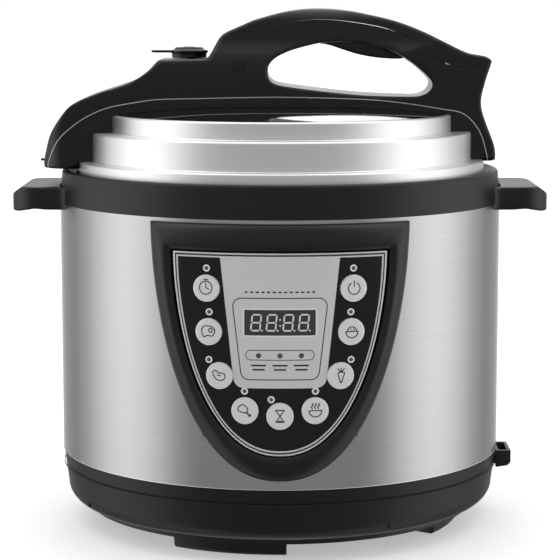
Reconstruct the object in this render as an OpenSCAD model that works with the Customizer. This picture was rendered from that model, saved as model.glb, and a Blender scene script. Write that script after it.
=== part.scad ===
// Electric pressure cooker, built up from its separate pieces.
// Origin: centre of the footprint, on the surface that it stands on.
// +Z is up, the control panel faces -Y, and the lid's handle runs along X.

/* [Body] */
// Outer diameter of the steel sheet
body_d = 272; // [250:1:330]
// Height of the steel sheet
sheet_h = 154; // [128:1:190]
// Thickness of the steel sheet
sheet_t = 0.6; // [0.4:0.1:1]
// Wall of the plastic mouldings
wall = 2.5; // [2:0.1:3]
// Height of the upper ring
ring_h = 19.5; // [18:0.5:24]
// Height of the base shell
base_h = 32; // [28:1:40]
// Height of the feet
foot_h = 9; // [6:0.5:14]
// Angle that each foot covers
foot_span = 36; // [24:1:50]

/* [Pots] */
// From the outside of the body to the inside of the inner pot
pot_inset = 30; // [28:1:40]
// Wall of the inner pot
pot_t = 1.8; // [1.2:0.1:2.5]
// Wall of the outer pot
liner_t = 1.5; // [1:0.1:2]
// Room between the inner and the outer pot
liner_gap = 1.5; // [1:0.1:2]
// Radius of the heating plate
plate_r = 88; // [70:1:92]
// Thickness of the heating plate
plate_t = 12; // [9:0.5:15]

/* [Lid] */
// From the outside of the body to the lid's skirt
lid_inset = 10; // [9:0.5:12]
// Thickness of the lid's sheet
lid_t = 1.2; // [0.8:0.1:2]
// Height of the lowest tier above the upper ring
tier_1_h = 5.6; // [4:0.2:8]
// Height of the middle tier
tier_2_h = 17.3; // [14:0.1:21]
// Height of the top tier
tier_3_h = 10.5; // [8:0.5:14]
// Width of the step onto the middle tier
tier_2_step = 8; // [7:0.5:10]
// Width of the step onto the top tier
tier_3_step = 12; // [9:0.5:15]
// Rise of the dome above the top tier
dome_h = 5; // [3:0.5:9]
// Number of bayonet lugs
lug_n = 6; // [4:1:6]

/* [Lid handle] */
// How far the handle's wing stands out past the body
wing_out = 8; // [7:0.5:12]
// Half of the wing's width
wing_w = 36; // [30:1:40]
// Half of the grip's width
grip_w = 17; // [14:0.5:20]
// Radius of the steam valve's cap
valve_r = 11.7; // [9:0.1:14]
// Radius of the vent pipe
pipe_r = 3.5; // [3:0.1:4]
// Radius of the float pin
float_r = 2.5; // [2:0.1:3]
// Radius of the release lever's pin
pin_r = 1.5; // [1.2:0.1:2]

/* [Side handles] */
// How far each side handle stands out past the body
side_out = 30; // [24:1:40]
// Half of a side handle's width
side_w = 36; // [28:1:42]
// Thickness of a side handle
side_t = 18; // [16:0.5:22]

/* [Control panel] */
// Half of the surround's width, along the curve
bezel_w = 77; // [70:1:84]
// How far the surround stands out from the sheet
bezel_out = 7.5; // [6.5:0.5:9]
// Half of the panel's width, along the curve
panel_w = 61; // [56:1:64]
// Diameter of a button
button_d = 15.6; // [12:0.2:16.4]
// How far a button travels
button_travel = 1; // [0.5:0.1:1.2]
// Width of the display window
display_w = 39.4; // [36:0.2:42]
// Height of the display window
display_h = 14.7; // [12:0.1:16]

/* [Fits] */
// Clearance between pieces that only lie next to each other
gap = 0.3; // [0.2:0.05:0.5]
// Clearance round a button
button_gap = 0.2; // [0.15:0.05:0.4]
// Radial clearance of a shaft that turns or slides in its bore
run_gap = 0.05; // [0.03:0.01:0.1]

/* [Hidden] */
$fn = 96;

black = "#242424";
steel = "#c9c9c6";
metal = "#b5b6b8";
silver = "#bdbebe";

// Levels, from the ground up
cover_t = wall + 0.8;
z_shell = foot_h + cover_t + gap;
z_sheet = z_shell + base_h;
z_ring = z_sheet + sheet_h;
z_top = z_ring + ring_h;
lid_h = tier_1_h + tier_2_h + tier_3_h;
z_rim = z_top + lid_h;

// Radii, from the outside in
body_r = body_d / 2;
cover_r = body_r - 16;
shell_round = 11;
sheet_in = body_r - sheet_t;
lid_r1 = body_r - lid_inset;
lid_r2 = lid_r1 - tier_2_step;
lid_r3 = lid_r2 - tier_3_step;
pot_r = body_r - pot_inset;
liner_r = pot_r + pot_t + liner_gap;

// Bayonet: the lugs on the lid lie under the teeth on the outer pot
z_skirt = z_top - 14.6;
lug_t = 2;
z_tooth = z_skirt + lug_t + 1.5;
tooth_r = lid_r1 - lid_t - 2.8;
lug_in = tooth_r - 3.4;
lug_span = 360 / lug_n * 0.43;
tooth_span = 360 / lug_n * 0.49;

// Pot and what lies under it
z_flange = z_tooth + lug_t + gap;
z_plate = z_sheet + 17.4;
z_pot = z_plate + 0.2;
sensor_r = 13;
z_spring = z_plate - plate_t - 10;

// Control panel
bezel_r = body_r + 0.1;
face_r = bezel_r + 3.1;
face_t = 2.4;
panel_r = face_r + face_t;
bezel_z0 = z_sheet + 5.5;
bezel_z1 = z_ring - 2;
panel_z0 = bezel_z0 + 15.6;
panel_z1 = bezel_z1 - 15.5;
panel_h = panel_z1 - panel_z0;
board_y = body_r - 12;
board_t = 1.6;
board_w = 84;
board_z0 = panel_z0 + 12;
board_h = panel_h - 16;
board_screws = [[4, 4], [board_w - 4, 4], [12, board_h - 4], [board_w - 12, board_h - 4]];
stem_r = 3;
switch_h = 3;
display_z = panel_z0 + panel_h * 0.66;
// Each button and lamp: distance from the middle as a share of the panel's half width,
// taken along its curve, and height as a share of the panel's
BUTTONS = [
    [-0.685, 0.823], [-0.664, 0.610], [-0.563, 0.395], [-0.324, 0.226], [0, 0.200],
    [0.324, 0.226], [0.563, 0.395], [0.664, 0.610], [0.685, 0.823]
];
LAMPS = [
    [-0.685, 0.921], [-0.66, 0.707], [-0.664, 0.472], [-0.328, 0.322], [-0.081, 0.282],
    [0.328, 0.322], [0.664, 0.472], [0.66, 0.707], [0.685, 0.921],
    [-0.194, 0.498], [0, 0.498], [0.194, 0.498]
];
lamp_r = 1.1;

// Lid handle: the outline's points are [share of the reach, height above the lid's rim],
// and a height below the rim is a share of the lid's height.
reach = body_r + wing_out;
function hz(h) = z_rim + (h < 0 ? h * lid_h : h);
function hp(list) = [for (p = list) [p[0] * reach, hz(p[1])]];
WING = [
    [-1.001, -0.967], [-1.0, -0.82], [-0.99, -0.64], [-0.966, -0.32], [-0.908, 1.8],
    [-0.86, 7.9], [-0.772, 13.2], [-0.63, 20], [-0.557, 26.6], [-0.513, 33.6]
];
HUMP = [[-0.306, 33.8], [-0.282, 39.9], [-0.256, 46.7], [-0.23, 49.8], [-0.178, 53.1]];
ARCH = [
    [-0.115, 57.1], [0, 61.7], [0.087, 63.8], [0.172, 64.3], [0.258, 63.5], [0.343, 61.6],
    [0.488, 56.8], [0.6, 50.8], [0.687, 44.7], [0.773, 38.7], [0.816, 36.6], [0.876, 35.3]
];
HEEL = [
    [0.9, 33.2], [0.901, 31.4], [0.876, 20.3], [0.857, 9.2], [0.862, 1.8], [0.885, -0.225],
    [0.918, -0.6], [0.924, -0.865]
];
HOLE = [
    [-0.051, 20.3], [-0.04, 32.6], [0.0, 37.4], [0.087, 41.2], [0.2, 45.3], [0.33, 44.6],
    [0.442, 41.1], [0.524, 35], [0.6, 27], [0.647, 20.3], [0.659, 17.8], [0.63, 13],
    [0.603, 11], [0.517, 11.4], [0.345, 11.9], [0.173, 15.3], [0.0, 19]
];
PARTING = [
    [-0.976, -0.967], [-0.974, -0.83], [-0.933, -0.46], [-0.868, -0.19], [-0.803, -0.01],
    [-0.719, 4.6], [-0.592, 8], [-0.507, 9.5], [-0.338, 10.1], [0, 10.9], [0.34, 9.6],
    [0.509, 7.3], [0.678, 3.4], [0.781, 0], [0.849, -0.32], [0.881, -0.74], [0.885, -0.865]
];
GRIP_SEAM = [
    [-0.178, 53.1], [-0.14, 50], [-0.07, 52.3], [0.05, 56], [0.172, 57.4], [0.3, 56],
    [0.46, 51.6], [0.58, 44], [0.646, 36], [0.71, 30.4], [0.775, 28.8], [0.85, 30.8], [0.9, 33]
];
// Half width of the handle, against the share of the reach
WIDTHS = [
    [-1.01, 0.62], [-0.965, 0.88], [-0.91, 1.0], [-0.84, 0.985], [-0.78, 0.9], [-0.715, 0.86],
    [-0.55, 0.87], [-0.35, 0.9], [-0.14, 0.9], [0, 0.9], [0.17, 0.87], [0.35, 0.83],
    [0.52, 0.72], [0.69, 0.56], [0.8, 0.44], [0.93, 0.34]
];
valve_x = -0.389 * reach;
float_x = -0.208 * reach;
float_travel = 4;
deck_z = hz(33.8);
lever_x = 0.167 * reach;
lever_z = hz(48);
lever_hub = 3.1;
rod_r = 1.5;
rod_z = lever_z + lever_hub + rod_r + gap;
rod_end = lever_x - 1.7;
rod_tip = rod_end - 18.8;

function arc(c, r, a, b, n) =
    [for (i = [0:n]) c + r * [cos(a + (b - a) * i / n), sin(a + (b - a) * i / n)]];
function flip(list) = [for (i = [len(list) - 1:-1:0]) list[i]];
function catmull(a, b, c, d, t) =
    0.5 * (2 * b + (c - a) * t + (2 * a - 5 * b + 4 * c - d) * t * t
        + (3 * b - a - 3 * c + d) * t * t * t);
function at(p, i) = p[max(0, min(len(p) - 1, i))];
function curve(p, n) = concat(
    [for (i = [0:len(p) - 2]) for (k = [0:n - 1])
        catmull(at(p, i - 1), p[i], p[i + 1], at(p, i + 2), k / n)],
    [p[len(p) - 1]]);
function loop(p, n) = let (m = len(p)) [for (i = [0:m - 1]) for (k = [0:n - 1])
    catmull(p[(i + m - 1) % m], p[i], p[(i + 1) % m], p[(i + 2) % m], k / n)];

// Outline of the control panel: a shield with a level top and a round foot
function shield(w, z0, z1, r) =
    let (n = 20, side = [for (i = [1:n])
        let (t = pow(i / n, 1.9), s = w * pow(1 - pow(1 - t, 1.8), 0.456))
            [r * sin(s / r * 180 / PI), z0 + (z1 - z0) * t]])
    concat([[0, z0]], side, flip([for (p = side) [-p[0], p[1]]]));

// Stretches along X, seen from the front
module along_y(half) { translate([0, half, 0]) rotate([90, 0, 0]) linear_extrude(height = 2 * half)
    children(); }

// A piece of a cylinder wall at the front, cut to an outline
module front_skin(points, r0, r1) {
    intersection() {
        difference() {
            translate([0, 0, z_sheet - 5]) cylinder(r = r1, h = sheet_h + 10, $fn = 180);
            translate([0, 0, z_sheet - 6]) cylinder(r = r0, h = sheet_h + 12, $fn = 180);
        }
        rotate([90, 0, 0]) linear_extrude(height = 2 * body_r) polygon(points);
    }
}

function turn(across) = across * panel_w / panel_r * 180 / PI;

// Places its children on the curve of the panel, with +Z pointing outwards
module on_panel(across, share, r) {
    rotate([0, 0, turn(across)]) translate([0, -r, panel_z0 + panel_h * share]) rotate([90, 0, 0]) children();
}

// A ring sector between two radii, centred on an angle
module sector(r0, r1, h, angle, span) {
    rotate([0, 0, angle - span / 2]) rotate_extrude(angle = span) translate([r0, 0])
        square([r1 - r0, h]);
}

module screw(head_r, head_h, shank_r, length) {
    cylinder(r = head_r, h = head_h, $fn = 32);
    cylinder(r = shank_r, h = length, $fn = 32);
}

// ---- Base ----

boss_r = cover_r - 9;
boss_angles = [-61, 29, 119, 209];
screw_r = 1.5;

module bottom_cover() {
    color(black) difference() {
        union() {
            translate([0, 0, foot_h]) cylinder(r = cover_r, h = cover_t);
            translate([0, 0, foot_h]) cylinder(r = cover_r - 4, h = cover_t + wall);
        }
        translate([0, 0, foot_h + wall]) cylinder(r = cover_r - 6, h = cover_t + wall);
        for (a = boss_angles) rotate([0, 0, a]) translate([boss_r, 0, foot_h - 1])
            cylinder(r = screw_r + gap, h = 9);
        for (a = [0:15:345], r = [40, 62]) rotate([0, 0, a]) translate([r, -1.5, foot_h - 1])
            cube([16, 3, 5]);
    }
}

module base_shell() {
    shell_r = body_r - 3;
    c = [shell_r - shell_round, z_shell + shell_round];
    crease = [body_r - 1.5, z_shell + 22.8];
    lip = sheet_in - 0.1;
    outer = concat(arc(c, shell_round, -90, 0, 8), [crease, [body_r - 0.4, z_sheet], [lip, z_sheet],
        [lip, z_sheet + 6]]);
    inner = concat([[lip - 2, z_sheet + 6], [lip - 2, z_sheet - 2], crease - [wall, 0]],
        arc(c, shell_round - wall, 0, -90, 8));
    color(black) difference() {
        union() {
            rotate_extrude($fn = 180) polygon(concat(outer, inner));
            for (a = boss_angles) rotate([0, 0, a]) {
                translate([boss_r, 0, z_shell + 5]) cylinder(r = 4.5, h = 18, $fn = 32);
                translate([boss_r + 3, -1.2, z_shell + 5]) cube([shell_r - boss_r - 3.5, 2.4, 18]);
            }
        }
        for (a = boss_angles) rotate([0, 0, a]) translate([boss_r, 0, z_shell])
            cylinder(r = screw_r + 0.02, h = 18, $fn = 32);
        // seats of the spoon holder's two pegs
        for (y = [-6, 6]) translate([body_r - 8, y, z_shell + 20]) rotate([0, 90, 0])
            cylinder(r = 1.52, h = 12, $fn = 32);
    }
}

module foot(i) {
    angle = -106 + 90 * i;
    r1 = cover_r - 8;
    color(black) rotate([0, 0, angle - foot_span / 2]) rotate_extrude(angle = foot_span)
        polygon([[r1 - 14, foot_h], [r1 - 13, 1], [r1 - 12, 0], [r1 - 1.5, 0], [r1, 1.5],
            [r1 + 1, foot_h]]);
}
module foot_1() { foot(0); }
module foot_2() { foot(1); }
module foot_3() { foot(2); }
module foot_4() { foot(3); }

module base_screws() {
    color(metal) for (a = boss_angles) rotate([0, 0, a]) translate([boss_r, 0, foot_h - 1.6])
        screw(3.2, 1.6, screw_r, 22);
}

// ---- Body ----

inlet_z = z_sheet + 20;
inlet_w = 27;
inlet_h = 20;
inlet_y0 = liner_r + liner_t + 3;
inlet_y1 = body_r + 3.5;

module body_sheet() {
    color(steel) difference() {
        translate([0, 0, z_sheet]) cylinder(r = body_r, h = sheet_h, $fn = 180);
        translate([0, 0, z_sheet - 1]) cylinder(r = sheet_in, h = sheet_h + 2, $fn = 180);
        translate([-board_w / 2 - 2, -body_r - 2, board_z0 - 3]) cube([board_w + 4, 30, board_h + 6]);
        translate([-inlet_w / 2 - 0.3, body_r - 12, inlet_z - inlet_h / 2 - 0.3])
            cube([inlet_w + 0.6, 20, inlet_h + 0.6]);
        for (x = [-8, 8]) translate([x, body_r - 6, bracket_z0 + 8]) rotate([-90, 0, 0])
            cylinder(r = screw_r + 0.1, h = 10, $fn = 32);
    }
}

trough_z = z_ring + 2;
trough_r = tooth_r - 8;
drain_z = trough_z + 2.6;
module upper_ring() {
    funnel = lid_r1 + 1.8;
    color(black) difference() {
        rotate_extrude($fn = 180) polygon(concat(
            [[sheet_in - 0.1, z_ring - 6], [sheet_in - 0.1, z_ring], [body_r - 0.1, z_ring]],
            [[body_r - 1.2, z_top - 2]], arc([body_r - 3.2, z_top - 2], 2, 0, 90, 4),
            [[body_r - 4.6, z_top], [funnel, z_top - 5.5], [funnel, trough_z], [trough_r, trough_z],
            [trough_r, trough_z + 2.4], [trough_r - 2, trough_z + 2.4], [trough_r - 2, z_ring - 2],
            [trough_r, z_ring - 2], [trough_r, z_ring - 0.4], [sheet_in - 6, z_ring - 0.4],
            [sheet_in - 2.1, z_ring - 6]]));
        // drain of the trough, towards the collector
        translate([0, lid_r1 - 4, drain_z]) rotate([-90, 0, 0]) cylinder(r = 1.6, h = 20, $fn = 32);
        for (s = [-1, 1], y = [-16, 16]) translate([s * (body_r - 12), y, z_ring + 6.5])
            rotate([0, s * 90, 0])
            cylinder(r = screw_r + 0.1, h = 16, $fn = 32);
    }
}

side_in = body_r + 0.1;
module side_handle(s) {
    tip = body_r + side_out;
    round_r = 20;
    top = z_ring + side_t - 6.1;
    plan = concat([[body_r - 16, -side_w]], arc([tip - round_r, -side_w + round_r], round_r, -90, 0, 8),
        arc([tip - round_r, side_w - round_r], round_r, 0, 90, 8), [[body_r - 16, side_w]]);
    side = [[body_r - 16, z_ring - 6], [body_r + 6, z_ring - 6], [body_r + 14, z_ring - 5.2],
        [tip - 5, z_ring - 7.8], [tip - 1, z_ring - 8.2], [tip, z_ring - 7.4], [tip, top - 7],
        [tip - 0.6, top - 6], [tip - 7, top - 0.5], [tip - 9, top], [body_r - 16, top]];
    pocket = concat(arc([tip - 12, -side_w + 20], 7, -90, 0, 6), arc([tip - 12, side_w - 20], 7, 0, 90,
        6),
        [[body_r + 5, side_w - 13], [body_r + 5, -side_w + 13]]);
    color(black) mirror([s < 0 ? 1 : 0, 0, 0]) difference() {
        intersection() {
            along_y(side_w + 1) polygon(side);
            translate([0, 0, z_ring - 10]) linear_extrude(height = side_t + 10) polygon(plan);
        }
        translate([0, 0, z_ring - 12]) cylinder(r = side_in, h = 40, $fn = 180);
        translate([0, 0, z_ring - 10]) linear_extrude(height = side_t + 0.9) polygon(pocket);
        for (y = [-16, 16]) translate([body_r - 4, y, z_ring + 6.5]) rotate([0, 90, 0])
            cylinder(r = screw_r + 0.02, h = 9, $fn = 32);
    }
}
module handle_left() { side_handle(-1); }
module handle_right() { side_handle(1); }

module handle_screws() {
    inside = sqrt(pow(body_r - 7.2, 2) - 256);
    color(metal) for (s = [-1, 1], y = [-16, 16])
        translate([s * inside, y, z_ring + 6.5]) rotate([0, s * 90, 0]) translate([0, 0, 0.2])
            cylinder(r = screw_r, h = 12, $fn = 32);
}

// ---- Heating ----

module outer_pot() {
    r0 = liner_r;
    r1 = liner_r + liner_t;
    z0 = z_plate - 6;
    color(metal) difference() {
        union() {
            rotate_extrude($fn = 180) polygon([[plate_r + 2, z0], [r1, z0], [r1, z_ring - 3.6],
                [r1 + 5, z_ring - 3.6],
                [r1 + 5, z_ring - 2.2], [r1, z_ring - 2.2], [r1, z_tooth], [tooth_r - 6, z_tooth],
                [tooth_r - 6, z_tooth + lug_t], [r0, z_tooth + lug_t], [r0, z0 + liner_t],
                    [plate_r + 2, z0 + liner_t]]);
            for (i = [0:lug_n - 1]) translate([0, 0, z_tooth])
                sector(tooth_r - 7, tooth_r, lug_t, 360 / lug_n * i, tooth_span);
        }
    }
}

module heating_plate() {
    color(metal) difference() {
        translate([0, 0, z_plate - plate_t]) cylinder(r = plate_r, h = plate_t);
        translate([0, 0, z_plate - plate_t - 1]) cylinder(r = sensor_r + 1, h = plate_t + 2);
        translate([0, 0, z_plate - plate_t]) rotate_extrude() translate([plate_r - 22, 0])
            circle(r = 4, $fn = 32);
        for (a = [40, 160, 280]) rotate([0, 0, a]) translate([45, 0, z_plate - plate_t - 1])
            cylinder(r = 1.6, h = 7, $fn = 32);
    }
}

module heating_element() {
    color(metal) translate([0, 0, z_plate - plate_t]) rotate([0, 0, 100]) union() {
        rotate_extrude(angle = 340) translate([plate_r - 22, 0]) circle(r = 3.8, $fn = 32);
        for (a = [3, 337]) rotate([0, 0, a]) translate([plate_r - 22, 0, -13])
            cylinder(r = 2.2, h = 12, $fn = 32);
    }
}

module spring_plate() {
    color(metal) difference() {
        union() {
            translate([0, 0, z_spring]) cylinder(r = 56, h = 1.2);
            for (a = [40, 160, 280]) rotate([0, 0, a]) {
                translate([45, 0, z_spring]) cylinder(r = 4, h = 10, $fn = 32);
                translate([50, -7, z_spring]) cube([plate_r - 36, 14, 1.2]);
                translate([plate_r + 12.8, -7, z_spring]) cube([1.2, 14, z_plate - 6 - z_spring]);
            }
        }
        translate([0, 0, z_spring - 1]) cylinder(r = 3.2, h = 4, $fn = 32);
        for (a = [40, 160, 280]) rotate([0, 0, a]) translate([45, 0, z_spring - 1])
            cylinder(r = 1.6, h = 12, $fn = 32);
    }
}

module pressure_switch() {
    color("#d8d4c4") translate([22, -34, z_spring - 10]) union() {
        cube([20, 14, 9.7]);
        for (x = [3, 9, 15]) translate([x, 5, -5]) cube([0.8, 4, 5]);
    }
}

module thermostat() {
    color(metal) translate([-32, 32, z_plate - plate_t]) union() {
        translate([0, 0, -4]) cylinder(r = 7, h = 3.9, $fn = 48);
        for (s = [-1, 1]) translate([s * 4 - 0.4, -2, -8]) cube([0.8, 4, 5]);
    }
}

spring_seat = z_plate - 10.5;
module thermal_sensor() {
    color(metal) union() {
        translate([0, 0, spring_seat + 8]) cylinder(r = sensor_r, h = z_plate + 0.05 - spring_seat - 8);
        translate([0, 0, spring_seat + 2]) cylinder(r = 4, h = 7, $fn = 32);
        translate([0, 0, z_spring - 4]) cylinder(r = 3.1, h = spring_seat - z_spring + 7, $fn = 32);
    }
}

// A coil spring that stands along Z
module coil(r, wire, h, turns) {
    per = 16;
    sides = 6;
    n = turns * per;
    pts = [for (i = [0:n]) for (j = [0:sides - 1])
        let (a = 360 * i / per, b = 360 * j / sides, q = r + wire * cos(b))
            [q * cos(a), q * sin(a), wire + (h - 2 * wire) * i / n + wire * sin(b)]];
    walls = [for (i = [0:n - 1]) for (j = [0:sides - 1])
        let (k = (j + 1) % sides) [i * sides + j, i * sides + k, (i + 1) * sides + k, (i + 1) * sides
            + j]];
    polyhedron(points = pts, faces = concat([[for (j = [sides - 1:-1:0]) j]], walls,
        [[for (j = [0:sides - 1]) n * sides + j]]));
}

module sensor_spring() {
    color(metal) translate([0, 0, z_spring + 1.5]) coil(6.2, 0.6, spring_seat + 7.7 - z_spring - 1.5,
        5);
}

board_xy = [-40, 42];
z_board = foot_h + wall + 6;
module power_board() {
    color("#3c6b3f") union() {
        translate([board_xy[0], board_xy[1], z_board]) cube([80, 44, 1.6]);
        for (x = [4, 76], y = [4, 40]) translate([board_xy[0] + x, board_xy[1] + y, foot_h + wall])
            cylinder(r = 2.5, h = 6.5, $fn = 24);
    }
}

module power_parts() {
    color("#555555") translate([board_xy[0], board_xy[1], z_board + 1.6]) union() {
        translate([8, 20, 0]) cube([22, 18, 12]);
        translate([36, 18, 0]) cube([16, 12, 10]);
        translate([60, 12, 0]) cylinder(r = 5, h = 12, $fn = 32);
        translate([60, 26, 0]) cylinder(r = 4, h = 11, $fn = 32);
        translate([10, 4, 0]) cube([28, 8, 8]);
        translate([68, 6, 0]) cube([8, 30, 9]);
    }
}

module power_inlet() {
    color(black) difference() {
        union() {
            translate([-inlet_w / 2, inlet_y0, inlet_z - inlet_h / 2])
                cube([inlet_w, inlet_y1 - inlet_y0, inlet_h]);
            intersection() {
                translate([-inlet_w / 2 - 9, body_r - 8, inlet_z - inlet_h / 2 - 3])
                    cube([inlet_w + 18, 12, inlet_h + 6]);
                difference() {
                    translate([-30, 0, inlet_z - 20]) cube([60, inlet_y1, 40]);
                    translate([0, 0, inlet_z - 21]) cylinder(r = body_r + 0.1, h = 42, $fn = 180);
                }
            }
        }
        translate([-11.9, inlet_y1 - 16.5, inlet_z - 8.1]) cube([23.8, 20, 16.2]);
        for (x = [-6.8, 0, 6.8]) translate([x - 1, inlet_y0 - 1, inlet_z + (x == 0 ? 1.5 : -3.5)])
            cube([2, 30, 4]);
    }
}

module inlet_pins() {
    color(metal) for (x = [-6.8, 0, 6.8])
        translate([x - 1, inlet_y0 - 2.5, inlet_z + (x == 0 ? 1.5 : -3.5)])
            cube([2, inlet_y1 - 6 - inlet_y0 + 2.5, 4]);
}

// ---- Control panel ----

module control_bezel() {
    color(black) difference() {
        union() {
            front_skin(shield(bezel_w, bezel_z0, bezel_z1, bezel_r), bezel_r, bezel_r + 2.6);
            front_skin(shield(bezel_w - 3, bezel_z0 + 3, bezel_z1 - 2, bezel_r), bezel_r + 1, bezel_r
                + 5);
            front_skin(shield(bezel_w - 6.5, bezel_z0 + 6.5, bezel_z1 - 4.5, bezel_r), bezel_r + 1,
                body_r + bezel_out);
        }
        front_skin(shield(panel_w + gap, panel_z0 - gap, panel_z1 + gap, face_r), face_r - 0.05, body_r
            + 20);
        for (b = BUTTONS) on_panel(b[0], b[1], body_r - 6) cylinder(r = stem_r + 2, h = 20, $fn = 48);
        for (b = LAMPS) on_panel(b[0], b[1], body_r - 6) cylinder(r = lamp_r + 0.1, h = 20, $fn = 24);
        translate([-display_w / 2 + 1, -body_r - 10, display_z - display_h / 2 + 1])
            cube([display_w - 2, 20, display_h - 2]);
    }
}

module panel_face() {
    color(black) difference() {
        front_skin(shield(panel_w, panel_z0, panel_z1, face_r), face_r, panel_r);
        for (b = BUTTONS) on_panel(b[0], b[1], body_r - 6) cylinder(r = button_d / 2 + button_gap,
            h = 20, $fn = 64);
        for (b = LAMPS) on_panel(b[0], b[1], body_r - 6) cylinder(r = lamp_r + 0.1, h = 20, $fn = 24);
        translate([-display_w / 2, -body_r - 10, display_z - display_h / 2])
            cube([display_w, 20, display_h]);
    }
}

module panel_trim() {
    t = 3;
    color(silver) difference() {
        front_skin(shield(panel_w - 0.3, panel_z0 + 0.3, panel_z1 - 0.3, panel_r), panel_r, panel_r
            + 0.6);
        rotate([90, 0, 0]) linear_extrude(height = 2 * body_r)
            polygon(shield(panel_w - t, panel_z0 + t, panel_z1 - t, panel_r));
    }
}

module display_window() {
    color("#505050") intersection() {
        front_skin([[-display_w / 2 + 0.1, display_z - display_h / 2 + 0.1],
            [display_w / 2 - 0.1, display_z - display_h / 2 + 0.1],
            [display_w / 2 - 0.1, display_z + display_h / 2 - 0.1], [-display_w / 2 + 0.1, display_z
                + display_h / 2 - 0.1]],
            face_r + 0.1, panel_r - 0.1);
        translate([-body_r, -2 * body_r, z_sheet]) cube([2 * body_r, 2 * body_r, sheet_h]);
    }
}

module display_module() {
    color("#303030") translate([-display_w / 2 + 2, -body_r + 1.5, display_z - display_h / 2 + 1.5])
        cube([display_w - 4, body_r - board_y - 1.5, display_h - 3]);
}

module control_board() {
    color("#3c6b3f") translate([-board_w / 2, -board_y, board_z0]) difference() {
        cube([board_w, board_t, board_h]);
        for (p = board_screws) translate([p[0], -1, p[1]]) rotate([-90, 0, 0])
            cylinder(r = screw_r + 0.1, h = 4, $fn = 24);
    }
}

// A switch on the board behind each button
module key_switches() {
    color("#777777") for (b = BUTTONS) {
        x = panel_r * sin(turn(b[0])) * 0.93;
        translate([x - 3, -board_y - switch_h, panel_z0 + panel_h * b[1] - 3]) cube([6, switch_h, 6]);
    }
}

module light_pipes() {
    color("#e8e8e8") for (b = LAMPS)
        on_panel(b[0], b[1], board_y / cos(turn(b[0])) + 3) cylinder(r = lamp_r, h = panel_r - board_y
            / cos(turn(b[0])) - 3.1, $fn = 24);
}

module panel_screws() {
    color(metal) for (p = board_screws)
        translate([p[0] - board_w / 2, -board_y + board_t + 1.5, board_z0 + p[1]]) rotate([90, 0, 0])
            screw(2.8, 1.5, screw_r, 8);
}

// A button: a round cap and the stem that reaches its switch
module key(i) {
    b = BUTTONS[i];
    cap_r = button_d / 2;
    top = panel_r + 1.2;
    foot_gap = button_travel + 0.25;
    stem = board_y + switch_h + foot_gap;
    color(silver) difference() {
        union() {
            on_panel(b[0], b[1], face_r + 1.3) rotate_extrude($fn = 64)
                polygon(concat([[0, 0], [cap_r, 0]],
                arc([cap_r - 0.8, top - face_r - 2.1], 0.8, 0, 90, 4), [[0, top - face_r - 1.1]]));
            on_panel(b[0], b[1], body_r - 14) cylinder(r = stem_r, h = face_r + 2 - body_r + 14,
                $fn = 32);
        }
        translate([-body_r, -stem, 0]) cube([2 * body_r, body_r, z_top]);
    }
}
module button_timer() { key(0); }
module button_meat() { key(1); }
module button_beans() { key(2); }
module button_chicken() { key(3); }
module button_time_set() { key(4); }
module button_soup() { key(5); }
module button_vegetables() { key(6); }
module button_rice() { key(7); }
module button_keep_warm() { key(8); }

// ---- Outside fittings ----

cup_w = 30;
cup_h = 50;
cup_y1 = body_r + 10.8;
cup_z1 = z_ring - 8;
bracket_z0 = cup_z1 - 26;
peg_x = 12;
peg_z = cup_z1 - 10;
peg_r = 2;

module condensation_collector() {
    color("#9a9c9d") difference() {
        translate([0, 0, cup_z1 - cup_h]) linear_extrude(height = cup_h) intersection() {
            difference() {
                polygon([[-cup_w, body_r - 6], [cup_w, body_r - 6], [cup_w, cup_y1 - 4],
                    [cup_w - 4, cup_y1], [4 - cup_w, cup_y1],
                    [-cup_w, cup_y1 - 4]]);
                circle(r = body_r + 2.9, $fn = 180);
            }
            translate([-cup_w, 0]) square([2 * cup_w, cup_y1]);
        }
        translate([0, 0, cup_z1 - cup_h + 2]) linear_extrude(height = cup_h) difference() {
            translate([-cup_w + 1.6, 0]) square([2 * cup_w - 3.2, cup_y1 - 1.6]);
            circle(r = body_r + 4.1, $fn = 180);
            for (s = [-1, 1]) translate([s * cup_w, cup_y1]) rotate([0, 0, 45])
                square([8, 8], center = true);
            for (x = [-peg_x, peg_x]) translate([x - 4, 0]) square([8, body_r + 8.3]);
        }
        for (x = [-peg_x, peg_x]) translate([x, body_r, peg_z]) rotate([-90, 0, 0])
            cylinder(r = peg_r + run_gap, h = 7.6, $fn = 32);
    }
}

module collector_bracket() {
    color(black) difference() {
        union() {
            intersection() {
                difference() {
                    translate([0, 0, bracket_z0]) cylinder(r = body_r + 2.5, h = z_ring - 0.5
                        - bracket_z0, $fn = 180);
                    translate([0, 0, bracket_z0 - 1]) cylinder(r = body_r + 0.1, h = 40, $fn = 180);
                }
                translate([-17, 0, bracket_z0]) cube([34, 2 * body_r, 60]);
            }
            difference() {
                translate([-9, body_r - 4, cup_z1 + 2]) cube([18, 12, z_ring + 2 - cup_z1]);
                translate([0, 0, cup_z1]) cylinder(r = body_r + 0.1, h = 40, $fn = 180);
                translate([-7, body_r - 6, cup_z1 + 4]) cube([14, 12, 20]);
            }
            // pegs that the collector pushes on to
            for (x = [-peg_x, peg_x]) translate([x, body_r + 1, peg_z]) rotate([-90, 0, 0])
                cylinder(r = peg_r, h = 6, $fn = 32);
        }
        translate([0, body_r + 5, cup_z1]) cylinder(r = 2, h = 8, $fn = 32);
        for (x = [-8, 8]) translate([x, body_r - 6, bracket_z0 + 8]) rotate([-90, 0, 0])
            cylinder(r = screw_r + 0.1, h = 12, $fn = 32);
    }
}

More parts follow.
